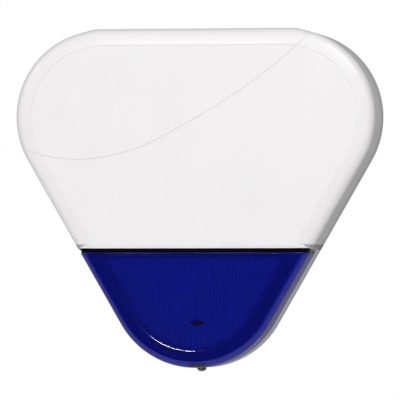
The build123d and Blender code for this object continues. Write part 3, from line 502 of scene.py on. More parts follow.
def groove_cutter():
    """A closed bar that follows the groove's line over the front: its section is a rounded channel.

    The line is a smooth curve through the groove's points. Each of its points is put on the case's surface
    by its inset, the least distance to the outline's tangents, and the section stands along the surface's
    normal there.
    """
    fine = np.concatenate([over_top(np.linspace(split_z, 0, 12)), round_bottom(np.linspace(0, split_z, 12))])
    edge_x, edge_z = lay(fine, 0)
    normal = together(np.cos(fine[:, 3]), np.sin(fine[:, 3]))
    track = smooth_curve(groove_points, 1600)
    distance = (edge_x * normal[:, 0] + edge_z * normal[:, 1])[:, None] - normal @ track.T
    nearest = distance.argmin(axis=0)
    inset = distance.min(axis=0)
    keep = inset > 0.02 * MM
    track, inset, outward = track[keep], inset[keep], normal[nearest[keep]]
    section, over = outer_section(skirt_depth, ridge(), 60)
    inset_table, depth_table, turn_table = (np.concatenate(pair)[2:] for pair in zip(section, over))
    depth = np.interp(inset, inset_table, depth_table)
    turn = np.interp(inset, inset_table, np.minimum(turn_table, UP))
    surface = placed(track[:, 0], depth, track[:, 1])
    upright = together(outward[:, 0] * np.cos(turn), -np.sin(turn), outward[:, 1] * np.cos(turn))
    distance = travelled(surface)
    even = np.linspace(0, distance[-1], 500)
    centre = read_off(surface, distance, even)
    upright = unit(read_off(upright, distance, even))
    sideways = unit(np.cross(np.gradient(centre, axis=0), upright))
    fade = np.clip(np.minimum(even, even[-1] - even) / (3 * MM), 0.02, 1)[:, None, None]
    across = np.array([-1, -0.9, -0.5, 0.5, 0.9, 1, 1, -1]) * groove_width / 2
    deep = np.array([0.1, -0.75, -1, -1, -0.75, 0.1, 1.5, 1.5]) * groove_depth
    deep = np.where(deep < 0, deep * fade[..., 0], deep)
    return capped(centre[:, None] + sideways[:, None] * across[:, None] + upright[:, None] * deep[..., None])


def smooth_curve(points, count):
    """A curve through points: cubic pieces whose slopes at the points come from their neighbours."""
    step = travelled(points)
    slope = np.gradient(points, step, axis=0, edge_order=2)
    at = np.linspace(0, step[-1], count)
    k = np.clip(np.searchsorted(step, at, side="right") - 1, 0, len(step) - 2)
    length = (step[k + 1] - step[k])[:, None]
    t = ((at - step[k]) / length[:, 0])[:, None]
    return ((2 * t**3 - 3 * t**2 + 1) * points[k] + (t**3 - 2 * t**2 + t) * length * slope[k]
            + (3 * t**2 - 2 * t**3) * points[k + 1] + (t**3 - t**2) * length * slope[k + 1])


# ======== lens
roof_low = lens_top - lens_wall
flute_top = roof_low - 1 * MM
inner_front = case_depth - lens_wall


def lens_line(levels, even=False):
    """Stations of the lens: one under each ridge and valley of the flutes, with the given levels above them.

    Those on the straight sides can be spread evenly below the given levels instead.
    """
    reach = corner_radius - flute_inset
    edge, widest = lay(side(True, [0.0, flute_top]), flute_inset)[0]
    count = int(widest / flute_pitch) * 2
    columns = np.arange(count, -count - 1, -1) * flute_pitch / 2
    on_arc = columns[np.abs(columns) < reach * cos(radians(30))]
    on_side = columns[columns > on_arc[0]]
    turns = -np.arccos(on_arc / reach)
    bottom = station_rows(0, lower_z, corner_radius, turns)
    slid = (edge - on_side) / tan(radians(-30))
    if even:
        slid = np.linspace(levels[-1], slid[-1], len(slid) + 1)[1:]
    line = np.concatenate([side(True, np.concatenate([levels, slid])), bottom,
                           side(False, np.concatenate([levels, slid])[::-1])])
    return line, columns


zone_count = 27  # flutes on either side of the middle
zone_width = zone_count * flute_pitch
zone_inset = band_width + 3.2 * MM


def fluted_zone(loop):
    """The flat front inside a loop as two faces: the stepped zone in front of the flutes, and the rest.

    The loop's last two points are the zone's upper corners.
    """
    reach, lean = corner_radius - zone_inset, radians(30)
    top = loop[0, 2]
    walls = np.arange(zone_count, -zone_count - 1, -1) * flute_pitch
    across = np.abs(walls)
    on_side = upper_z - (half_spacing + reach / cos(lean) - across) / tan(lean)
    on_arc = lower_z - np.sqrt(np.maximum(reach**2 - across**2, 0))
    lowest = np.where(across < reach * cos(lean), on_arc, on_side)
    level = np.minimum(np.maximum(lowest[:-1], lowest[1:]), top)
    steps = placed(np.repeat(walls, 2), -loop[0, 1], np.concatenate([[top], np.repeat(level, 2), [top]]))
    return filled(steps), filled(np.concatenate([loop[:-2], steps[::-1]]))


def lens_shell():
    """The lens's closed wall: outer skin, roof, and an inner skin whose front carries upright V flutes."""
    panel_top = lens_top - lens_band
    section, over = outer_section(lens_rear, ridge(0, crease_radius, (9, 1)))
    ends = np.concatenate([lens_top - lip_levels, [panel_top + band_width - over[0][0]]])
    rows = len(ends)
    line, columns = lens_line(np.append(ends, lens_top - 5.5 * MM), even=True)
    outer = shell_side(line, section, lip_ends(len(line)))
    edge = outer[-1]
    margin = 0.5 - zone_width / (edge[rows - 1, 0] - edge[-rows, 0])
    top_strip = strip(edge, rows, [0, margin, 1 - margin, 1])
    panel = []
    for inset, depth, _ in zip(*over):
        level = [panel_top + band_width - inset]
        loop = np.concatenate([side(True, level), line[rows:-rows], side(False, level)])
        corners = placed(np.array([-zone_width, zone_width]), depth, level[0])
        panel.append(np.concatenate([ring_at(loop, inset, depth), corners]))
    panel = np.stack(panel)
    top_loop = np.concatenate([outer[:, 0], top_strip[0][1:-1], outer[::-1, -1]])

    inner_line, _ = lens_line(np.concatenate([np.full(rows, roof_low), [flute_top]]))
    inner = shell_side(inner_line, profile(lens_wall, lens_rear))
    rows += 1
    comb_x, comb_z = lay(inner_line, flute_inset)
    comb_ring = placed(comb_x, inner_front, comb_z)
    comb = slice(rows, len(inner_line) - rows)
    crests = np.where(np.arange(len(columns)) % 2 == 1, flute_height, 0)
    wave_low = placed(columns, inner_front - crests, comb_z[comb])
    wave_top = placed(columns, inner_front - crests, flute_top)
    flat_top = placed(columns, inner_front, flute_top)
    roof_row = placed(columns, inner_front, roof_low)
    corner_right = np.array([comb_ring[rows], comb_ring[rows - 1], comb_ring[0], roof_row[0], flat_top[0]])
    corner_left = np.array([comb_ring[-rows - 1], comb_ring[-rows], comb_ring[-1], roof_row[-1], flat_top[-1]])
    roof_loop = np.concatenate([inner[:, 0], comb_ring[:1], roof_row, comb_ring[-1:], inner[::-1, -1]])
    middle, surround = fluted_zone(panel[-1])
    flutes = np.stack([comb_ring[comb], wave_low, wave_top, flat_top, roof_row])
    return joined(middle, grid(outer), grid(top_strip), grid(panel, closed=True), surround,
                  filled(top_loop), grid(np.stack([outer[0], inner[0]]), closed=True), grid(inner),
                  grid(np.stack([inner[-1], comb_ring])), grid(flutes),
                  filled(corner_right), filled(corner_left), filled(roof_loop))


def lens_flange():
    """The lens's flange: a channel whose ends follow the case's sloping sides, wider below the cover."""
    levels = np.array([lens_top + 0.02 * MM, split_z - 0.4 * MM, split_z - 0.1 * MM, split_z + flange_height])
    line = side(True, levels)
    outer = np.concatenate([lay(line[:2], land_inset)[0], lay(line[2:], tongue_outer)[0]])
    inner = lay(line, tongue_outer + tongue_thickness)[0]
    back = flange_depth - flange_thickness
    bend = 1.5 * MM
    depth = [lens_rear, flange_depth - bend, flange_depth, flange_depth, flange_depth - bend, lens_rear,
             lens_rear, back, back, lens_rear]
    across = together(-outer, -outer, bend - outer, outer - bend, outer, outer, inner, inner, -inner, -inner)
    return capped(placed(across, depth, levels[:, None]))


def lens_tongues():
    """Two strips behind the lens's edge that locate it in the skirt, with a gap at the screw's pocket."""
    inset = np.array([[0], [1], [1], [0]]) * tongue_thickness + tongue_outer
    depth = lens_rear - np.array([[0], [0], [1], [1]]) * tongue_length
    lines = [arc(0, lower_z, corner_radius, start, stop) for start, stop in ((-30, -80), (-100, -150))]
    return joined(*(capped(ring_at(line, inset, depth).transpose(1, 0, 2)) for line in lines))


# ======== materials
def srgb(code):
    """An sRGB hex colour as linear numbers with full alpha."""
    values = np.array([int(code[i:i + 2], 16) for i in (1, 3, 5)]) / 255
    linear = np.where(values <= 0.04045, values / 12.92, ((values + 0.055) / 1.055) ** 2.4)
    return (*linear.tolist(), 1.0)


def add(tree, kind, inputs=(), **settings):
    """Adds a shader node of a kind: settings are its properties, inputs are sockets by name or number."""
    node = tree.nodes.new("ShaderNode" + kind)
    for name, value in settings.items():
        setattr(node, name, value)
    for name, value in dict(inputs).items():
        if isinstance(value, bpy.types.NodeSocket):
            tree.links.new(value, node.inputs[name])
        else:
            node.inputs[name].default_value = value
    return node


def new_material(name):
    """An empty node material: its tree, and the object coordinates its patterns are measured in."""
    made = bpy.data.materials.new(name)
    made.use_nodes = True
    made.node_tree.nodes.clear()
    place = add(made.node_tree, "TexCoord").outputs["Object"]
    return made, made.node_tree, place


def finished(made, shader):
    """Joins a material's shader to its output."""
    tree = made.node_tree
    add(tree, "OutputMaterial", {"Surface": shader.outputs["BSDF"]})
    return made


def moulded_plastic(name, light, dark, roughness, grain, bump, ior=1.5, clear=0.0):
    """Injection-moulded plastic: a shade that drifts slowly, and the tool's fine grain in its gloss.

    Grain and bump are in mm. A real grain is a few hundredths of a millimetre; it is drawn coarser, so that
    it shows. Clear is the part of the light that passes through.
    """
    made, tree, place = new_material(name)
    drift = add(tree, "TexNoise", {"Vector": place, "Scale": 1 / (60 * MM), "Detail": 2.0})
    fine = add(tree, "TexNoise", {"Vector": place, "Scale": 1 / (grain * MM), "Detail": 3.0})
    rough = add(tree, "MapRange", {"Value": fine.outputs["Fac"], "To Min": roughness * 0.85,
                                             "To Max": roughness * 1.15})
    relief = add(tree, "Bump", {"Height": fine.outputs["Fac"], "Strength": 1.0, "Distance": bump * MM})
    colour = add(tree, "Mix", {0: drift.outputs["Fac"], 6: srgb(dark), 7: srgb(light)}, data_type="RGBA")
    return finished(made, add(tree, "BsdfPrincipled", {
        "Base Color": colour.outputs[2], "Roughness": rough.outputs["Result"],
        "Normal": relief.outputs["Normal"], "IOR": ior, "Transmission Weight": clear}))


def plated_metal(name, light, dark, roughness, grain):
    """Plated or drawn metal: two tones in fine streaks, their grain in mm, and a slightly uneven gloss."""
    made, tree, place = new_material(name)
    fine = add(tree, "TexNoise", {"Vector": place, "Scale": 1 / (grain * MM), "Detail": 4.0})
    rough = add(tree, "MapRange", {"Value": fine.outputs["Fac"], "To Min": roughness * 0.7,
                                             "To Max": roughness * 1.3})
    colour = add(tree, "Mix", {0: fine.outputs["Fac"], 6: srgb(dark), 7: srgb(light)}, data_type="RGBA")
    return finished(made, add(tree, "BsdfPrincipled", {
        "Base Color": colour.outputs[2], "Roughness": rough.outputs["Result"], "Metallic": 1.0}))


def blue_polycarbonate(name, light, dark, clear, lines):
    """Transparent blue polycarbonate, polished mould: deep blue through its wall, with a clear gloss.

    Clear is the part of the light that passes; lines is how strongly upright flutes show through.
    """
    made, tree, place = new_material(name)
    flow = add(tree, "TexNoise", {"Vector": place, "Scale": 1 / (25 * MM), "Detail": 2.0})
    relief = add(tree, "Bump", {"Height": flow.outputs["Fac"], "Strength": 1.0, "Distance": 0.02 * MM})
    bands = add(tree, "TexWave", {"Vector": place, "Scale": pi / 10 / flute_pitch, "Distortion": 0.4,
                                            "Detail Scale": 0.02}, bands_direction="X", wave_profile="TRI")
    mixed = add(tree, "Mix", {0: lines, 2: flow.outputs["Fac"], 3: bands.outputs["Fac"]})
    colour = add(tree, "Mix", {0: mixed.outputs[0], 6: srgb(dark), 7: srgb(light)}, data_type="RGBA")
    return finished(made, add(tree, "BsdfPrincipled", {
        "Base Color": colour.outputs[2], "Roughness": 0.06, "IOR": 1.585, "Transmission Weight": clear,
        "Normal": relief.outputs["Normal"]}))


def board_laminate(name):
    """Green solder mask over glass-epoxy: raised tracks in two directions, darker ground, tinned holes."""
    made, tree, place = new_material(name)
    height = None
    for along, across in (("X", 2.3), ("Z", 1.9)):
        bands = add(tree, "TexWave", {"Vector": place, "Scale": pi / 10 / (across * MM)},
                    bands_direction=along)
        thin = add(tree, "MapRange", {"Value": bands.outputs["Fac"], "From Min": 0.72, "From Max": 0.8})
        patches = add(tree, "TexVoronoi", {"Vector": place, "Scale": 1 / (9 * MM)}, distance="CHEBYCHEV")
        chance = add(tree, "SeparateXYZ", {"Vector": patches.outputs["Color"]})
        here = add(tree, "Math", {0: chance.outputs[along], 1: 0.5}, operation="GREATER_THAN")
        tracks = add(tree, "Math", {0: thin.outputs["Result"], 1: here.outputs[0]}, operation="MULTIPLY")
        if height is not None:
            tracks = add(tree, "Math", {0: tracks.outputs[0], 1: height}, operation="MAXIMUM")
        height = tracks.outputs[0]
    spots = add(tree, "TexVoronoi", {"Vector": place, "Scale": 1 / (5 * MM), "Randomness": 0.7})
    hole = add(tree, "Math", {0: spots.outputs["Distance"], 1: 0.09}, operation="LESS_THAN")
    mask = add(tree, "Mix", {0: height, 6: srgb("#14502B"), 7: srgb("#2B8049")}, data_type="RGBA")
    colour = add(tree, "Mix", {0: hole.outputs[0], 6: mask.outputs[2], 7: srgb("#C9CBC6")}, data_type="RGBA")
    relief = add(tree, "Bump", {"Height": height, "Strength": 1.0, "Distance": 0.035 * MM})
    return finished(made, add(tree, "BsdfPrincipled", {
        "Base Color": colour.outputs[2], "Metallic": hole.outputs[0], "Roughness": 0.32,
        "Normal": relief.outputs["Normal"], "IOR": 1.55}))


def furrow_shaded_sleeve(name, light, dark, pitch, roughness):
    """Flat cable: round-backed conductors side by side at a pitch in mm, with painted shade down in the furrow
    between them.
    """
    made, tree, place = new_material(name)
    bands = add(tree, "TexWave", {"Vector": place, "Scale": pi / 10 / (pitch * MM)}, bands_direction="X")
    relief = add(tree, "Bump", {"Height": bands.outputs["Fac"], "Strength": 1.0, "Distance": 0.25 * MM})
    colour = add(tree, "Mix", {0: bands.outputs["Fac"], 6: srgb(dark), 7: srgb(light)}, data_type="RGBA")
    return finished(made, add(tree, "BsdfPrincipled", {
        "Base Color": colour.outputs[2], "Roughness": roughness, "Normal": relief.outputs["Normal"],
        "IOR": 1.53}))


white_gloss = moulded_plastic(  # bright and even, with sharp reflections of the lamps
    "white_abs_polished_mould", "#EFEDEE", "#E9E7E8", 0.22, 0.8, 0.002)
black_satin = moulded_plastic(  # near black with a soft sheen
    "black_nylon_moulded", "#1B1B1D", "#131315", 0.4, 0.4, 0.01)
# deep blue glass-like gloss in copies painted with light: the plain blue where it is flat, a lighter copy with
# a painted sheen on the edges, and a lighter copy with painted light and painted streaks of the flutes behind
# where it is fluted
lens_blue = blue_polycarbonate("blue_polycarbonate_polished", "#0D1798", "#0A1282", 0.6, 0.0)
lens_edge_sheen_blue = blue_polycarbonate("blue_polycarbonate_edge_painted_sheen", "#1828B0", "#1422A0", 0.4, 0.0)
lens_fluted_painted_light_blue = blue_polycarbonate("blue_polycarbonate_fluted_painted_light", "#1427C2", "#1021AE", 0.72, 0.3)
# painted shade: a near-black copy of the lens plastic for the flange and for the skin in front of the screw
# notch, where the real plastic stands in shadow; it also colours the dark diamond mark
lens_shade_and_mark_blue = blue_polycarbonate(  # almost black: the faces that only face the dark inside
    "blue_polycarbonate_painted_shade_and_mark", "#0B0630", "#07031E", 0.05, 0.0)
core_coating = moulded_plastic(  # dull ochre paint
    "epoxy_coated_powder_core", "#D8B64A", "#C7A43C", 0.4, 0.6, 0.02)

slot_materials = {
    "cover_plastic": white_gloss,
    "lens_plastic": lens_blue,
    "black_plastic": black_satin,
    # warmer white, a matt grain that spreads the light
    "tray_plastic": moulded_plastic("white_abs_satin_mould", "#E6E5E1", "#DEDDD8", 0.45, 0.5, 0.01),
    # near black, slightly waxy
    "dark_plunger": moulded_plastic("dark_acetal_turned", "#16141C", "#0E0D13", 0.35, 0.4, 0.005),
    # dark grey metal with a faint violet cast and narrow glints
    "plated_screw": plated_metal("black_nickel_plated_steel", "#8A8794", "#5A5865", 0.3, 0.5),
    # cool bright metal, a little cloudy
    "zinc_steel": plated_metal("zinc_plated_steel_pressed", "#C4C5C6", "#9FA1A3", 0.32, 0.8),
    # warmer and smoother than the zinc
    "tinned_steel": plated_metal("tinned_steel", "#D3D3D0", "#A9AAA8", 0.3, 0.4),
    # bright wire with dark drawing streaks
    "spring_steel": plated_metal("spring_steel_drawn", "#B9BABD", "#7C7E82", 0.25, 0.3),
    # yellow metal with browner streaks
    "brass": plated_metal("brass_rolled", "#D9B25E", "#B8903F", 0.25, 0.6),
    # orange-brown wire with a lacquered glint
    "copper_winding": plated_metal("enamelled_copper_wire", "#C9773A", "#8E4A1D", 0.3, 0.4),
    # a mirror that is only slightly uneven
    "reflector_metal": plated_metal("aluminium_film_on_moulding", "#EDEEF0", "#D6D8DB", 0.08, 3),
    # dull black without any highlight
    "rubber": moulded_plastic("black_rubber_moulded", "#222224", "#19191B", 0.75, 0.4, 0.02),
    # glossy green with raised tracks and bright tinned holes
    "board_laminate": board_laminate("glass_epoxy_green_mask"),
    # stone-like matt black
    "chip_resin": moulded_plastic("epoxy_moulding_black", "#26262A", "#1C1C20", 0.5, 0.3, 0.01),
    # tight glossy skin in dark blue
    "capacitor_sleeve": moulded_plastic(
        "shrunk_sleeve_dark_blue", "#22305E", "#1A264C", 0.3, 1, 0.005),
    # clean mid blue, half gloss
    "relay_plastic": moulded_plastic("relay_case_blue", "#2C5FA8", "#255292", 0.35, 0.5, 0.005),
    # leaf green, half matt
    "terminal_plastic": moulded_plastic("green_nylon_moulded", "#3F8F57", "#347A49", 0.42, 0.5, 0.01),
    # cream, half matt
    "plug_plastic": moulded_plastic("white_nylon_moulded", "#E9E4D6", "#DDD8C8", 0.45, 0.4, 0.01),
    # green skin with the soft wrinkles of a shrunk sleeve
    "battery_sleeve": moulded_plastic("shrunk_sleeve_green", "#2E8C5A", "#267A4C", 0.28, 4, 0.03),
    # smooth red sleeve
    "wire_sleeve": moulded_plastic("red_pvc_extruded", "#B3221E", "#96201B", 0.4, 0.6, 0.005),
    # grey, with one furrow for each conductor and painted shade down in each furrow
    "ribbon_sleeve": furrow_shaded_sleeve("grey_pvc_flat_cable", "#B4B6B9", "#75777A", 1.27, 0.45),
    # clear, with hard narrow highlights
    "tube_glass": moulded_plastic("flash_tube_glass", "#F2F5F8", "#EAF0F4", 0.03, 2, 0.0, 1.47, 0.85),
    # half-clear bright blue
    "lamp_resin": moulded_plastic("clear_blue_lamp_resin", "#4A6CE6", "#3D5EDA", 0.08, 2, 0.0, 1.55, 0.5),
    # half-clear yellow-green, like the liquid in it
    "vial_acrylic": moulded_plastic(
        "yellow_green_vial_acrylic", "#D2E552", "#C2D643", 0.05, 2, 0.0, 1.49, 0.5),
}

for row in frame["record"]["subparts"]:
    node = frame["nodes"][row["node"]]
    node.data.materials.clear()
    node.data.materials.append(slot_materials[row["material_slot"]])


# ======== the cover
hinge_z = top_z - 2.2 * MM
hinge_depth, hinge_bar = 3.2 * MM, 1.5 * MM
hook_places = (-52 * MM, 52 * MM)
slot_width = 13.2 * MM
pocket_seat = low_z + 7.5 * MM
pocket_top = pocket_seat + 2.5 * MM
pocket_radius, head_bore, shank_bore = 6.5 * MM, 4.2 * MM, 2.2 * MM
upright, outward, sideways = (0, 0, 1), (0, -1, 0), (1, 0, 0)
slot_depth, slot_reach = 9.4 * MM, 6 * MM  # hinge slots: from the wall, and to either side of the top edge
rib_half, rib_height = 0.8 * MM, 4 * MM
flange_screw_places = [(x * MM, split_z + flange_height / 2) for x in (-66, -22, 22, 66)]
rib_places = (-48 * MM, 48 * MM)


def make_cover():
    """The cover: its shell, with the groove, hinge slots and bars, screw pocket, ribs and screw posts."""
    made = piece("cover_shell", cover_shell(), "cover", white_gloss)
    inside = case_depth - cover_wall
    posts = [tube((x, -flange_depth, z), 3.6 * MM, outward, inside - flange_depth + 0.5 * MM, 24)
             for x, z in flange_screw_places]  # 7.2 mm screw posts, set half a millimetre into the front
    ribs = [block((x - rib_half, -inside - 0.5 * MM, upper_z - 40 * MM),
                  (x + rib_half, -inside + rib_height, upper_z + 50 * MM)) for x in rib_places]
    pocket = tube((0, -screw_depth, low_z + cover_wall / 2), pocket_radius, upright,
                  pocket_top - low_z - cover_wall / 2, 40)
    slots = [block((x - slot_width / 2, -slot_depth, top_z - slot_reach),
                   (x + slot_width / 2, MM, top_z + slot_reach)) for x in hook_places]
    bars = [tube((x - slot_width / 2 - MM, -hinge_depth, hinge_z), hinge_bar, sideways, slot_width + 2 * MM, 24)
            for x in hook_places]
    bores = [tube((0, -screw_depth, low_z - MM), head_bore, upright, pocket_seat - low_z + MM, 40),
             tube((0, -screw_depth, pocket_seat - MM), shank_bore, upright, 6 * MM, 24)]
    carved(made, [joined(*posts), joined(*ribs), pocket], "UNION")
    carved(made, [groove_cutter(), joined(*slots), joined(*bores)])
    carved(made, [joined(*bars)], "UNION")
    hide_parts("cover")


# ======== the lens, with its post and its screw notch
def make_lens():
    """The lens: fluted shell, flange, tongues, the post that holds the tamper plunger, the screw's notch."""
    made = piece("lens_shell", lens_shell(), "cover", lens_blue)
    for material in (lens_edge_sheen_blue, lens_fluted_painted_light_blue, lens_shade_and_mark_blue):
        made.data.materials.append(material)
    # faces turned away from the front, ahead of the skirt, take the lighter edge copy, a painted sheen; the
    # rest keep the plain blue
    for polygon in made.data.polygons:
        polygon.material_index = int(polygon.normal.y > -0.95 and polygon.center.y < -lens_rear - MM)
    # the fluted zone takes the lighter fluted copy: painted light scattered back by the flutes behind
    made.data.polygons[0].material_index = 2  # the fluted zone
    post_radius, post_tip = 1.6 * MM, -tamper_low.y + 0.3 * MM  # the tip clears the tamper plunger
    post = tube((0, -post_tip, tamper_z), post_radius, outward, inner_front - post_tip + 0.4 * MM, 24)
    front_of_notch = -(lens_rear + notch_length)
    half = notch_width / 2
    wall = block((-half - notch_wall, front_of_notch - notch_wall, low_z + 1.6 * MM),
                 (half + notch_wall, -lens_rear - 0.02 * MM, low_z + notch_height + MM))
    hollow = block((-half, front_of_notch, low_z - MM), (half, MM, low_z + notch_height + MM - notch_wall))
    mark_x, mark_z, mark_half, mark_rise = 2.8 * MM, tamper_z + 2.2 * MM, 6.2 * MM, 2.8 * MM
    mark = placed(np.array([mark_half, 0, -mark_half, 0]) + mark_x,
                  np.array([[case_depth + MM], [case_depth - 0.4 * MM]]),
                  np.array([0, mark_rise, 0, -mark_rise]) + mark_z)
    carved(made, [post, wall], "UNION")
    carved(made, [hollow, capped(mark)])
    # the diamond mark is drawn dark, and the skin in front of the screw notch is drawn almost black: painted
    # shade of the pocket behind it
    for polygon in made.data.polygons:  # dark faces: the diamond mark, and the skin in front of the notch
        x, y, z = polygon.center
        in_mark = (y < MM - case_depth and abs(x - mark_x) / (mark_half + 0.1 * MM)
                   + abs(z - mark_z) / (mark_rise + 0.1 * MM) < 1)
        painted_notch_shade = abs(x - mark_x) < notch_width * 0.55 and z < low_z + 4 * MM and y < -lens_rear - MM
        if in_mark or painted_notch_shade:
            polygon.material_index = 3
    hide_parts("lens")
    # the flange is the lens's own plastic, drawn almost black: painted shade
    flange = piece("lens_flange", joined(lens_flange(), lens_tongues()), "cover", lens_shade_and_mark_blue)


# ======== screws and springs
def helix(centre, mean_radius, wire, length, turns):
    """A round wire wound on a line towards the front: closed end turns, an even pitch between them."""
    along = np.linspace(0, 1, int(turns * 28))
    turn = along * turns * 2 * pi
    flat = 1 / turns  # half a turn lies flat at each end
    rise = np.clip((along - flat / 2) / (1 - flat), 0, 1) * (length - 2 * wire) + wire
    path = together(mean_radius * np.cos(turn), -rise, mean_radius * np.sin(turn)) + np.array(centre)
    return wire_along(path, wire, 10)


def wire_along(path, radius, sides):
    """A round wire along a path: a circle square to the path, carried without twist, with closed ends."""
    ahead = unit(np.gradient(path, axis=0))
    normals = [unit(np.cross(ahead[0], (0.3, 0.2, 0.9)))]
    for step in ahead[1:]:
        normals.append(unit(normals[-1] - step * np.dot(step, normals[-1])))
    normals = np.array(normals)
    beside = np.cross(ahead, normals)
    turn = whole_turn(sides)[None, :, None]
    return capped(path[:, None] + radius * (np.cos(turn) * normals[:, None] + np.sin(turn) * beside[:, None]))


def about_screw(radius, height, turn):
    """Points round the cover screw's axis, from arrays of radius, height and turn."""
    return together(radius * np.cos(turn), -screw_depth + radius * np.sin(turn), height)


def make_cover_screw():
    """The captive cover screw: domed head with a six-lobed recess, shank with a cut metric thread.

    The thread's depth is a cosine of the height less the pitch's share of the turn, faded at both ends.
    """
    seat = pocket_seat - 6.55 * MM
    radius, height, shank, reach, pitch, cut = 3.85 * MM, 4.2 * MM, 2.0 * MM, 10.5 * MM, 0.7 * MM, 0.42 * MM
    chamfer, plain = 0.3 * MM, 1.2 * MM
    crown = height / 2
    dome = (radius**2 + crown**2) / (2 * crown)
    swing = np.linspace(0, asin(radius / dome), 9)
    low = seat - height
    head = together(dome * np.sin(swing), low + dome * (1 - np.cos(swing)))
    rim = [(radius, seat - chamfer), (radius - chamfer, seat), (shank, seat), (shank, seat + plain)]
    tip = np.array([(shank - 0.7 * MM, seat + reach), (0.0, seat + reach)])
    turn = whole_turn(40)
    rows = (np.arange(0, int((reach - 2 * plain) / pitch * 10)) * pitch / 10)[:, None]
    depth = cut * (0.5 - 0.5 * np.cos(2 * pi * rows / pitch - turn))
    depth *= np.clip(np.minimum(rows, rows[-1] - rows) / (0.5 * MM), 0, 1)
    body = np.concatenate([about_screw(*np.concatenate([head, rim]).T[..., None], turn),
                           about_screw(shank - depth, seat + plain + rows, turn),
                           about_screw(*tip.T[..., None], turn)])
    made = piece("cover_screw_turned", joined(grid(body, closed=True)), "cover_screw",
                 slot_materials["plated_screw"])
    lobes = whole_turn(48)
    recess = np.array([[low - MM], [low + height * 0.55]])
    star = about_screw(radius * (0.40 + 0.07 * np.cos(6 * lobes)), recess, lobes)
    carved(made, [capped(star)])
    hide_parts("cover_screw")


def make_springs():
    """The two plunger springs, real coils."""
    for name, joint, at_back, turns, travel in (
            ("tamper_spring", "front_plunger_travel", True, 8, 2.5 * MM),
            ("rear_spring", "rear_plunger_travel", False, 5, 3.0 * MM)):
        low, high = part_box(name)
        radius = (high.x - low.x) / 2
        wire = radius * 0.13
        centre = ((low.x + high.x) / 2, high.y, (low.z + high.z) / 2)
        coil = helix(centre, radius - wire, wire, high.y - low.y, turns)
        made = piece(name + "_coil", coil, "backplate", slot_materials["spring_steel"])
        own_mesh(made)
        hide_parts(name)


# ======== inside the case: leads, coil, small parts of the boards, vial
wire_step = 0.35 * MM


def bent(corners, radius):
    """Evenly spaced points along a line through corners in mm, its inner corners rounded by a radius."""
    corners = np.asarray(corners, float) * MM
    path = [corners[:1]]
    for before, corner, after in zip(corners, corners[1:], corners[2:]):
        back, onward = unit(before - corner), unit(after - corner)
        half = np.arccos(back @ onward) / 2
        middle = corner + unit(back + onward) * radius / sin(half)
        start, stop = [corner + way * radius / tan(half) - middle for way in (back, onward)]
        part = np.linspace(0, 1, 12)[:, None]
        path.append(middle + unit(start * (1 - part) + stop * part) * radius)
    path = np.concatenate(path + [corners[-1:]])
    distance = travelled(path)
    return read_off(path, distance, np.linspace(0, distance[-1], int(distance[-1] / wire_step)))


def twisted_pair(node, corners, radius):
    """A red and a black wire twisted round each other along a path in a plane that faces the front."""
    lay_length, half_apart, wire = 9 * MM, 0.6 * MM, 0.57 * MM
    path = bent(corners, radius)
    beside = np.cross(unit(np.gradient(path, axis=0)), outward)
    turn = (np.arange(len(path)) * wire_step / lay_length * 2 * pi)[:, None]
    offset = half_apart * (np.cos(turn) * np.array(outward) + np.sin(turn) * beside)
    for colour, hand, slot in (("red", 1, "wire_sleeve"), ("black", -1, "black_plastic")):
        made = piece(f"{node}_{colour}", wire_along(path + hand * offset, wire, 10), "backplate",
                     slot_materials[slot])
        if hand == 1:
            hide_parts(node)


def squared(turn, half_width, half_height, power):
    """Points round a rectangle with soft corners: cosine and sine to a power below 1, with their signs."""
    across, up = np.cos(turn), np.sin(turn)
    return together(half_width * np.sign(across) * np.abs(across) ** power,
                    half_height * np.sign(up) * np.abs(up) ** power)


def make_coil():
    """The step-up coil: a coated ring core, wound with one layer of round copper wire."""
    low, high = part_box("step_up_coil")
    centre = ((low.x + high.x) / 2, (low.y + high.y) / 2, (low.z + high.z) / 2)
    ring, half_width, half_height, wire, turns = 6.95 * MM, 2.75 * MM, 3.75 * MM, 0.45 * MM, 36
    under_wire = wire + 0.05 * MM
    section = squared(np.linspace(0, 2 * pi, 25), half_width - under_wire, half_height - under_wire, 0.4)
    core = piece("coil_core", joined(turned(section + (ring, 0), centre, "y", 60)), "backplate", core_coating)
    along = np.linspace(0, 1, turns * 26)
    swing = along * radians(335)
    across, height = squared(along * turns * 2 * pi, half_width, half_height, 0.6).T
    reach = ring + across
    path = together(reach * np.cos(swing), height, reach * np.sin(swing)) + np.array(centre)
    winding = piece("coil_winding", wire_along(path, wire, 8), "backplate", slot_materials["copper_winding"])
    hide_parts("step_up_coil")


def chip_parts(places, depth):
    """Bodies and end caps of small surface-mounted parts, from rows of x, z, width and height in mm."""
    bodies, ends = [], []
    for x, z, wide, high in np.array(places) * MM:
        half = np.array([wide, high]) / 2
        along = np.array([1, 0]) if wide > high else np.array([0, 1])
        front = -depth - min(wide, high) * 0.45
        cap = 0.2 * max(wide, high)
        inner = half - along * cap
        bodies.append(block((x - inner[0], front, z - inner[1]), (x + inner[0], -depth, z + inner[1])))
        for hand in (-1, 1):
            middle = np.array([x, z]) + hand * along * (half - cap / 2)
            size = np.where(along, cap / 2, half)
            ends.append(block((middle[0] - size[0], front - 0.04 * MM, middle[1] - size[1]),
                              (middle[0] + size[0], -depth, middle[1] + size[1])))
    return bodies, ends


def chip_legs(x, z, wide, high, pitch, depth):
    """Legs along a chip's upper and lower sides, sizes in mm: each has a shoulder, a foot and a riser."""
    legs = []
    for place in np.arange(-wide / 2 + 0.8, wide / 2 - 0.7, pitch) + x:
        for hand in (-1, 1):
            near, knee, shin, toe = (z + hand * (high / 2 + out) for out in (0, 0.6, 0.8, 1.3))
            for start, stop, base, top in ((near, knee, 0.8, 1.0), (knee, toe, 0, 0.22), (knee, shin, 0, 1.0)):
                low, up = sorted((start, stop))
                legs.append(block(np.array([place - 0.2, -top, low]) * MM - (0, depth, 0),
                                  np.array([place + 0.2, -base, up]) * MM - (0, depth, 0)))
    return legs


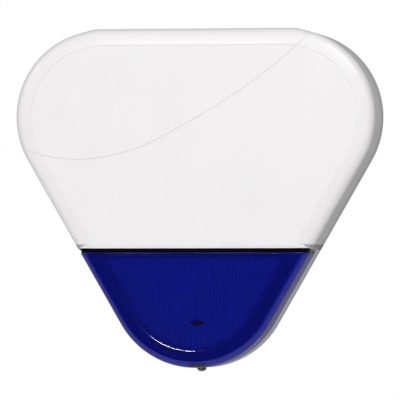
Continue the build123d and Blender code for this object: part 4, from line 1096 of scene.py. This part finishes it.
def make_board_parts():
    """Resistors, chip capacitors, diodes and chip legs on the two boards."""
    front = -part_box("control_board")[0].y
    strobe_front = -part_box("strobe_board")[0].y
    standing = ([(-56, z) for z in range(-20, -44, -4)] + [(x, -24) for x in (32, 35, 38, 41, 46, 49, 52)]
                + [(-3.6, -29), (-3.6, -39), (12.5, -28), (12.5, -32), (12.5, -38)])
    lying = ([(x, -29.5) for x in (33, 37, 41, 47, 51)]
             + [(-14, -19), (-14, -22), (-13, -27), (-8, -27), (19, -33), (19, -36), (24, -36)])
    diodes = [(14, -51, 4.3, 2.6), (22, -52.5, 4.3, 2.6), (24, -26, 2.6, 4.3)]
    bodies, ends = chip_parts([(*place, 1.25, 2.0) for place in standing]
                              + [(*place, 2.0, 1.25) for place in lying] + diodes, front)
    strobe_bodies, strobe_ends = chip_parts(
        [(x, z, 1.25, 2.0) for x in (-36, 36) for z in (-79, -97)], strobe_front)
    legs = (chip_legs(4, -34, 10, 10, 1.0, front) + chip_legs(24, -44, 8, 6, 1.27, front)
            + chip_legs(-6, -16, 6, 5, 1.27, front))
    for name, patches, slot in (("chip_bodies", bodies + strobe_bodies, "chip_resin"),
                                ("solder_ends_and_legs", ends + strobe_ends + legs, "tinned_steel")):
        made = piece(name, joined(*patches), "backplate", slot_materials[slot])


def make_vial_marks():
    """The two black rings on the vial that the bubble is read between."""
    low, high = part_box("level_vial")
    middle_y, middle_z, radius = (low.y + high.y) / 2, (low.z + high.z) / 2, (high.z - low.z) / 2
    inner, outer, half = radius - 0.3 * MM, radius + 0.05 * MM, 0.3 * MM
    section = [(inner, -half), (outer, -half), (outer, half), (inner, half), (inner, -half)]
    rings = [turned(section, (x, middle_y, middle_z), "x", 40) for x in (-4.2 * MM, 4.2 * MM)]
    piece("vial_rings", joined(*rings), "backplate", black_satin)


make_coil()
twisted_pair("battery_lead", [(-64, -14.6, 16.6), (-49, -14.6, 16.6), (-49, -14.6, -9)], 5 * MM)
twisted_pair("sounder_lead", [(-16, -14.6, 20.3), (-16, -14.6, 6), (-24, -14.6, 0), (-24, -14.6, -9)], 2.5 * MM)
make_board_parts()
make_vial_marks()
make_cover()
make_lens()
make_cover_screw()
make_springs()


# ======== camera, lamps, floor
view_side, view_rise = radians(9.5), radians(-1.0)
camera_distance = 5.0
frame_width = 0.3332
back = Vector((sin(view_side) * cos(view_rise), -cos(view_side) * cos(view_rise), sin(view_rise)))
across_view = Vector((cos(view_side), sin(view_side), 0))
target = across_view * -4.4 * MM + Vector((0, 0, -22.85 * MM))


def facing_target(direction, distance):
    """The place of something that looks at the target from a direction and a distance."""
    turn = (-direction).to_track_quat("-Z", "Y").to_matrix().to_4x4()
    return Matrix.Translation(target + direction * distance) @ turn


camera = shown("camera", bpy.data.cameras.new("camera"))
camera.data.sensor_width = 36.0
camera.data.lens = camera.data.sensor_width * camera_distance / frame_width
camera.data.clip_end = 50.0
camera.matrix_world = facing_target(back, camera_distance)
bpy.context.scene.camera = camera


def soft_lamp(name, azimuth, elevation, distance, width, height, glow):
    """An area lamp of a given glow that looks at the object's middle; azimuth 0 is in front of it."""
    lamp = shown(name, bpy.data.lights.new(name, "AREA"))
    lamp.data.shape, lamp.data.size, lamp.data.size_y = "RECTANGLE", width, height
    lamp.data.energy = pi * width * height * glow
    a, e = radians(azimuth), radians(elevation)
    lamp.matrix_world = facing_target(Vector((sin(a) * cos(e), -cos(a) * cos(e), sin(e))), distance)


soft_lamp("key_soft_box", 30, 36, 1.0, 0.46, 0.46, 3.2)
soft_lamp("side_soft_box", -60, 25, 2.0, 0.35, 0.5, 6.0)
soft_lamp("pane_left", -12.6, 25, 2.0, 0.075, 0.12, 17.0)
soft_lamp("pane_right", -8.4, 25, 2.0, 0.11, 0.12, 17.0)
soft_lamp("pane_side", 8, 14, 2.0, 0.05, 0.16, 6.0)
soft_lamp("low_glint", -12.5, -11, 2.0, 0.22, 0.14, 60.0)

world = bpy.data.worlds.new("studio")
bpy.context.scene.world = world
world.use_nodes = True
sky_tree = world.node_tree
sky_tree.nodes.clear()
ray = add(sky_tree, "LightPath").outputs
towards = add(sky_tree, "TexCoord").outputs["Generated"]
split_direction = add(sky_tree, "SeparateXYZ", {"Vector": towards}).outputs
# white backdrop; reflections show a dim room in front, and soft light comes mostly from the front
ambient, mirrored = (add(sky_tree, "MapRange", {
    "Value": split_direction["Y"], "From Min": start, "From Max": 0.2, "To Min": front, "To Max": behind,
}).outputs["Result"] for start, front, behind in ((-1.0, 0.88, 0.22), (-0.5, 0.03, 0.25)))
glossy = add(sky_tree, "Mix", {0: ray["Is Glossy Ray"], 2: ambient, 3: mirrored}).outputs[0]
direct = add(sky_tree, "Math", {0: ray["Is Camera Ray"], 1: ray["Is Transmission Ray"]},
             operation="MAXIMUM").outputs[0]
strength = add(sky_tree, "Math", {0: glossy, 1: direct}, operation="MAXIMUM").outputs[0]
sky = add(sky_tree, "Background", {"Color": (1, 1, 1, 1), "Strength": strength})
add(sky_tree, "OutputWorld", {"Surface": sky.outputs["Background"]})

floor_points = placed(np.array([[-3.0, 3.0]] * 2), np.array([[0.6] * 2, [-3.0] * 2]), low_z - 600 * MM)
floor_mesh = bpy.data.meshes.new("floor")
floor_mesh.from_pydata(floor_points.reshape(-1, 3).tolist(), [], [[0, 1, 3, 2]])
floor = shown("floor", floor_mesh)
floor_paint, floor_tree, _ = new_material("pale_floor")
seen = add(floor_tree, "LightPath").outputs["Is Camera Ray"]
lift = add(floor_tree, "Math", {0: seen, 1: 0.6}, operation="MULTIPLY").outputs[0]
finished(floor_paint, add(floor_tree, "BsdfPrincipled", {
    "Base Color": srgb("#F2F2F2"), "Roughness": 0.8,
    "Emission Color": srgb("#FFFFFF"), "Emission Strength": lift}))
floor_mesh.materials.append(floor_paint)

bpy.context.scene.view_settings.view_transform = "Standard"
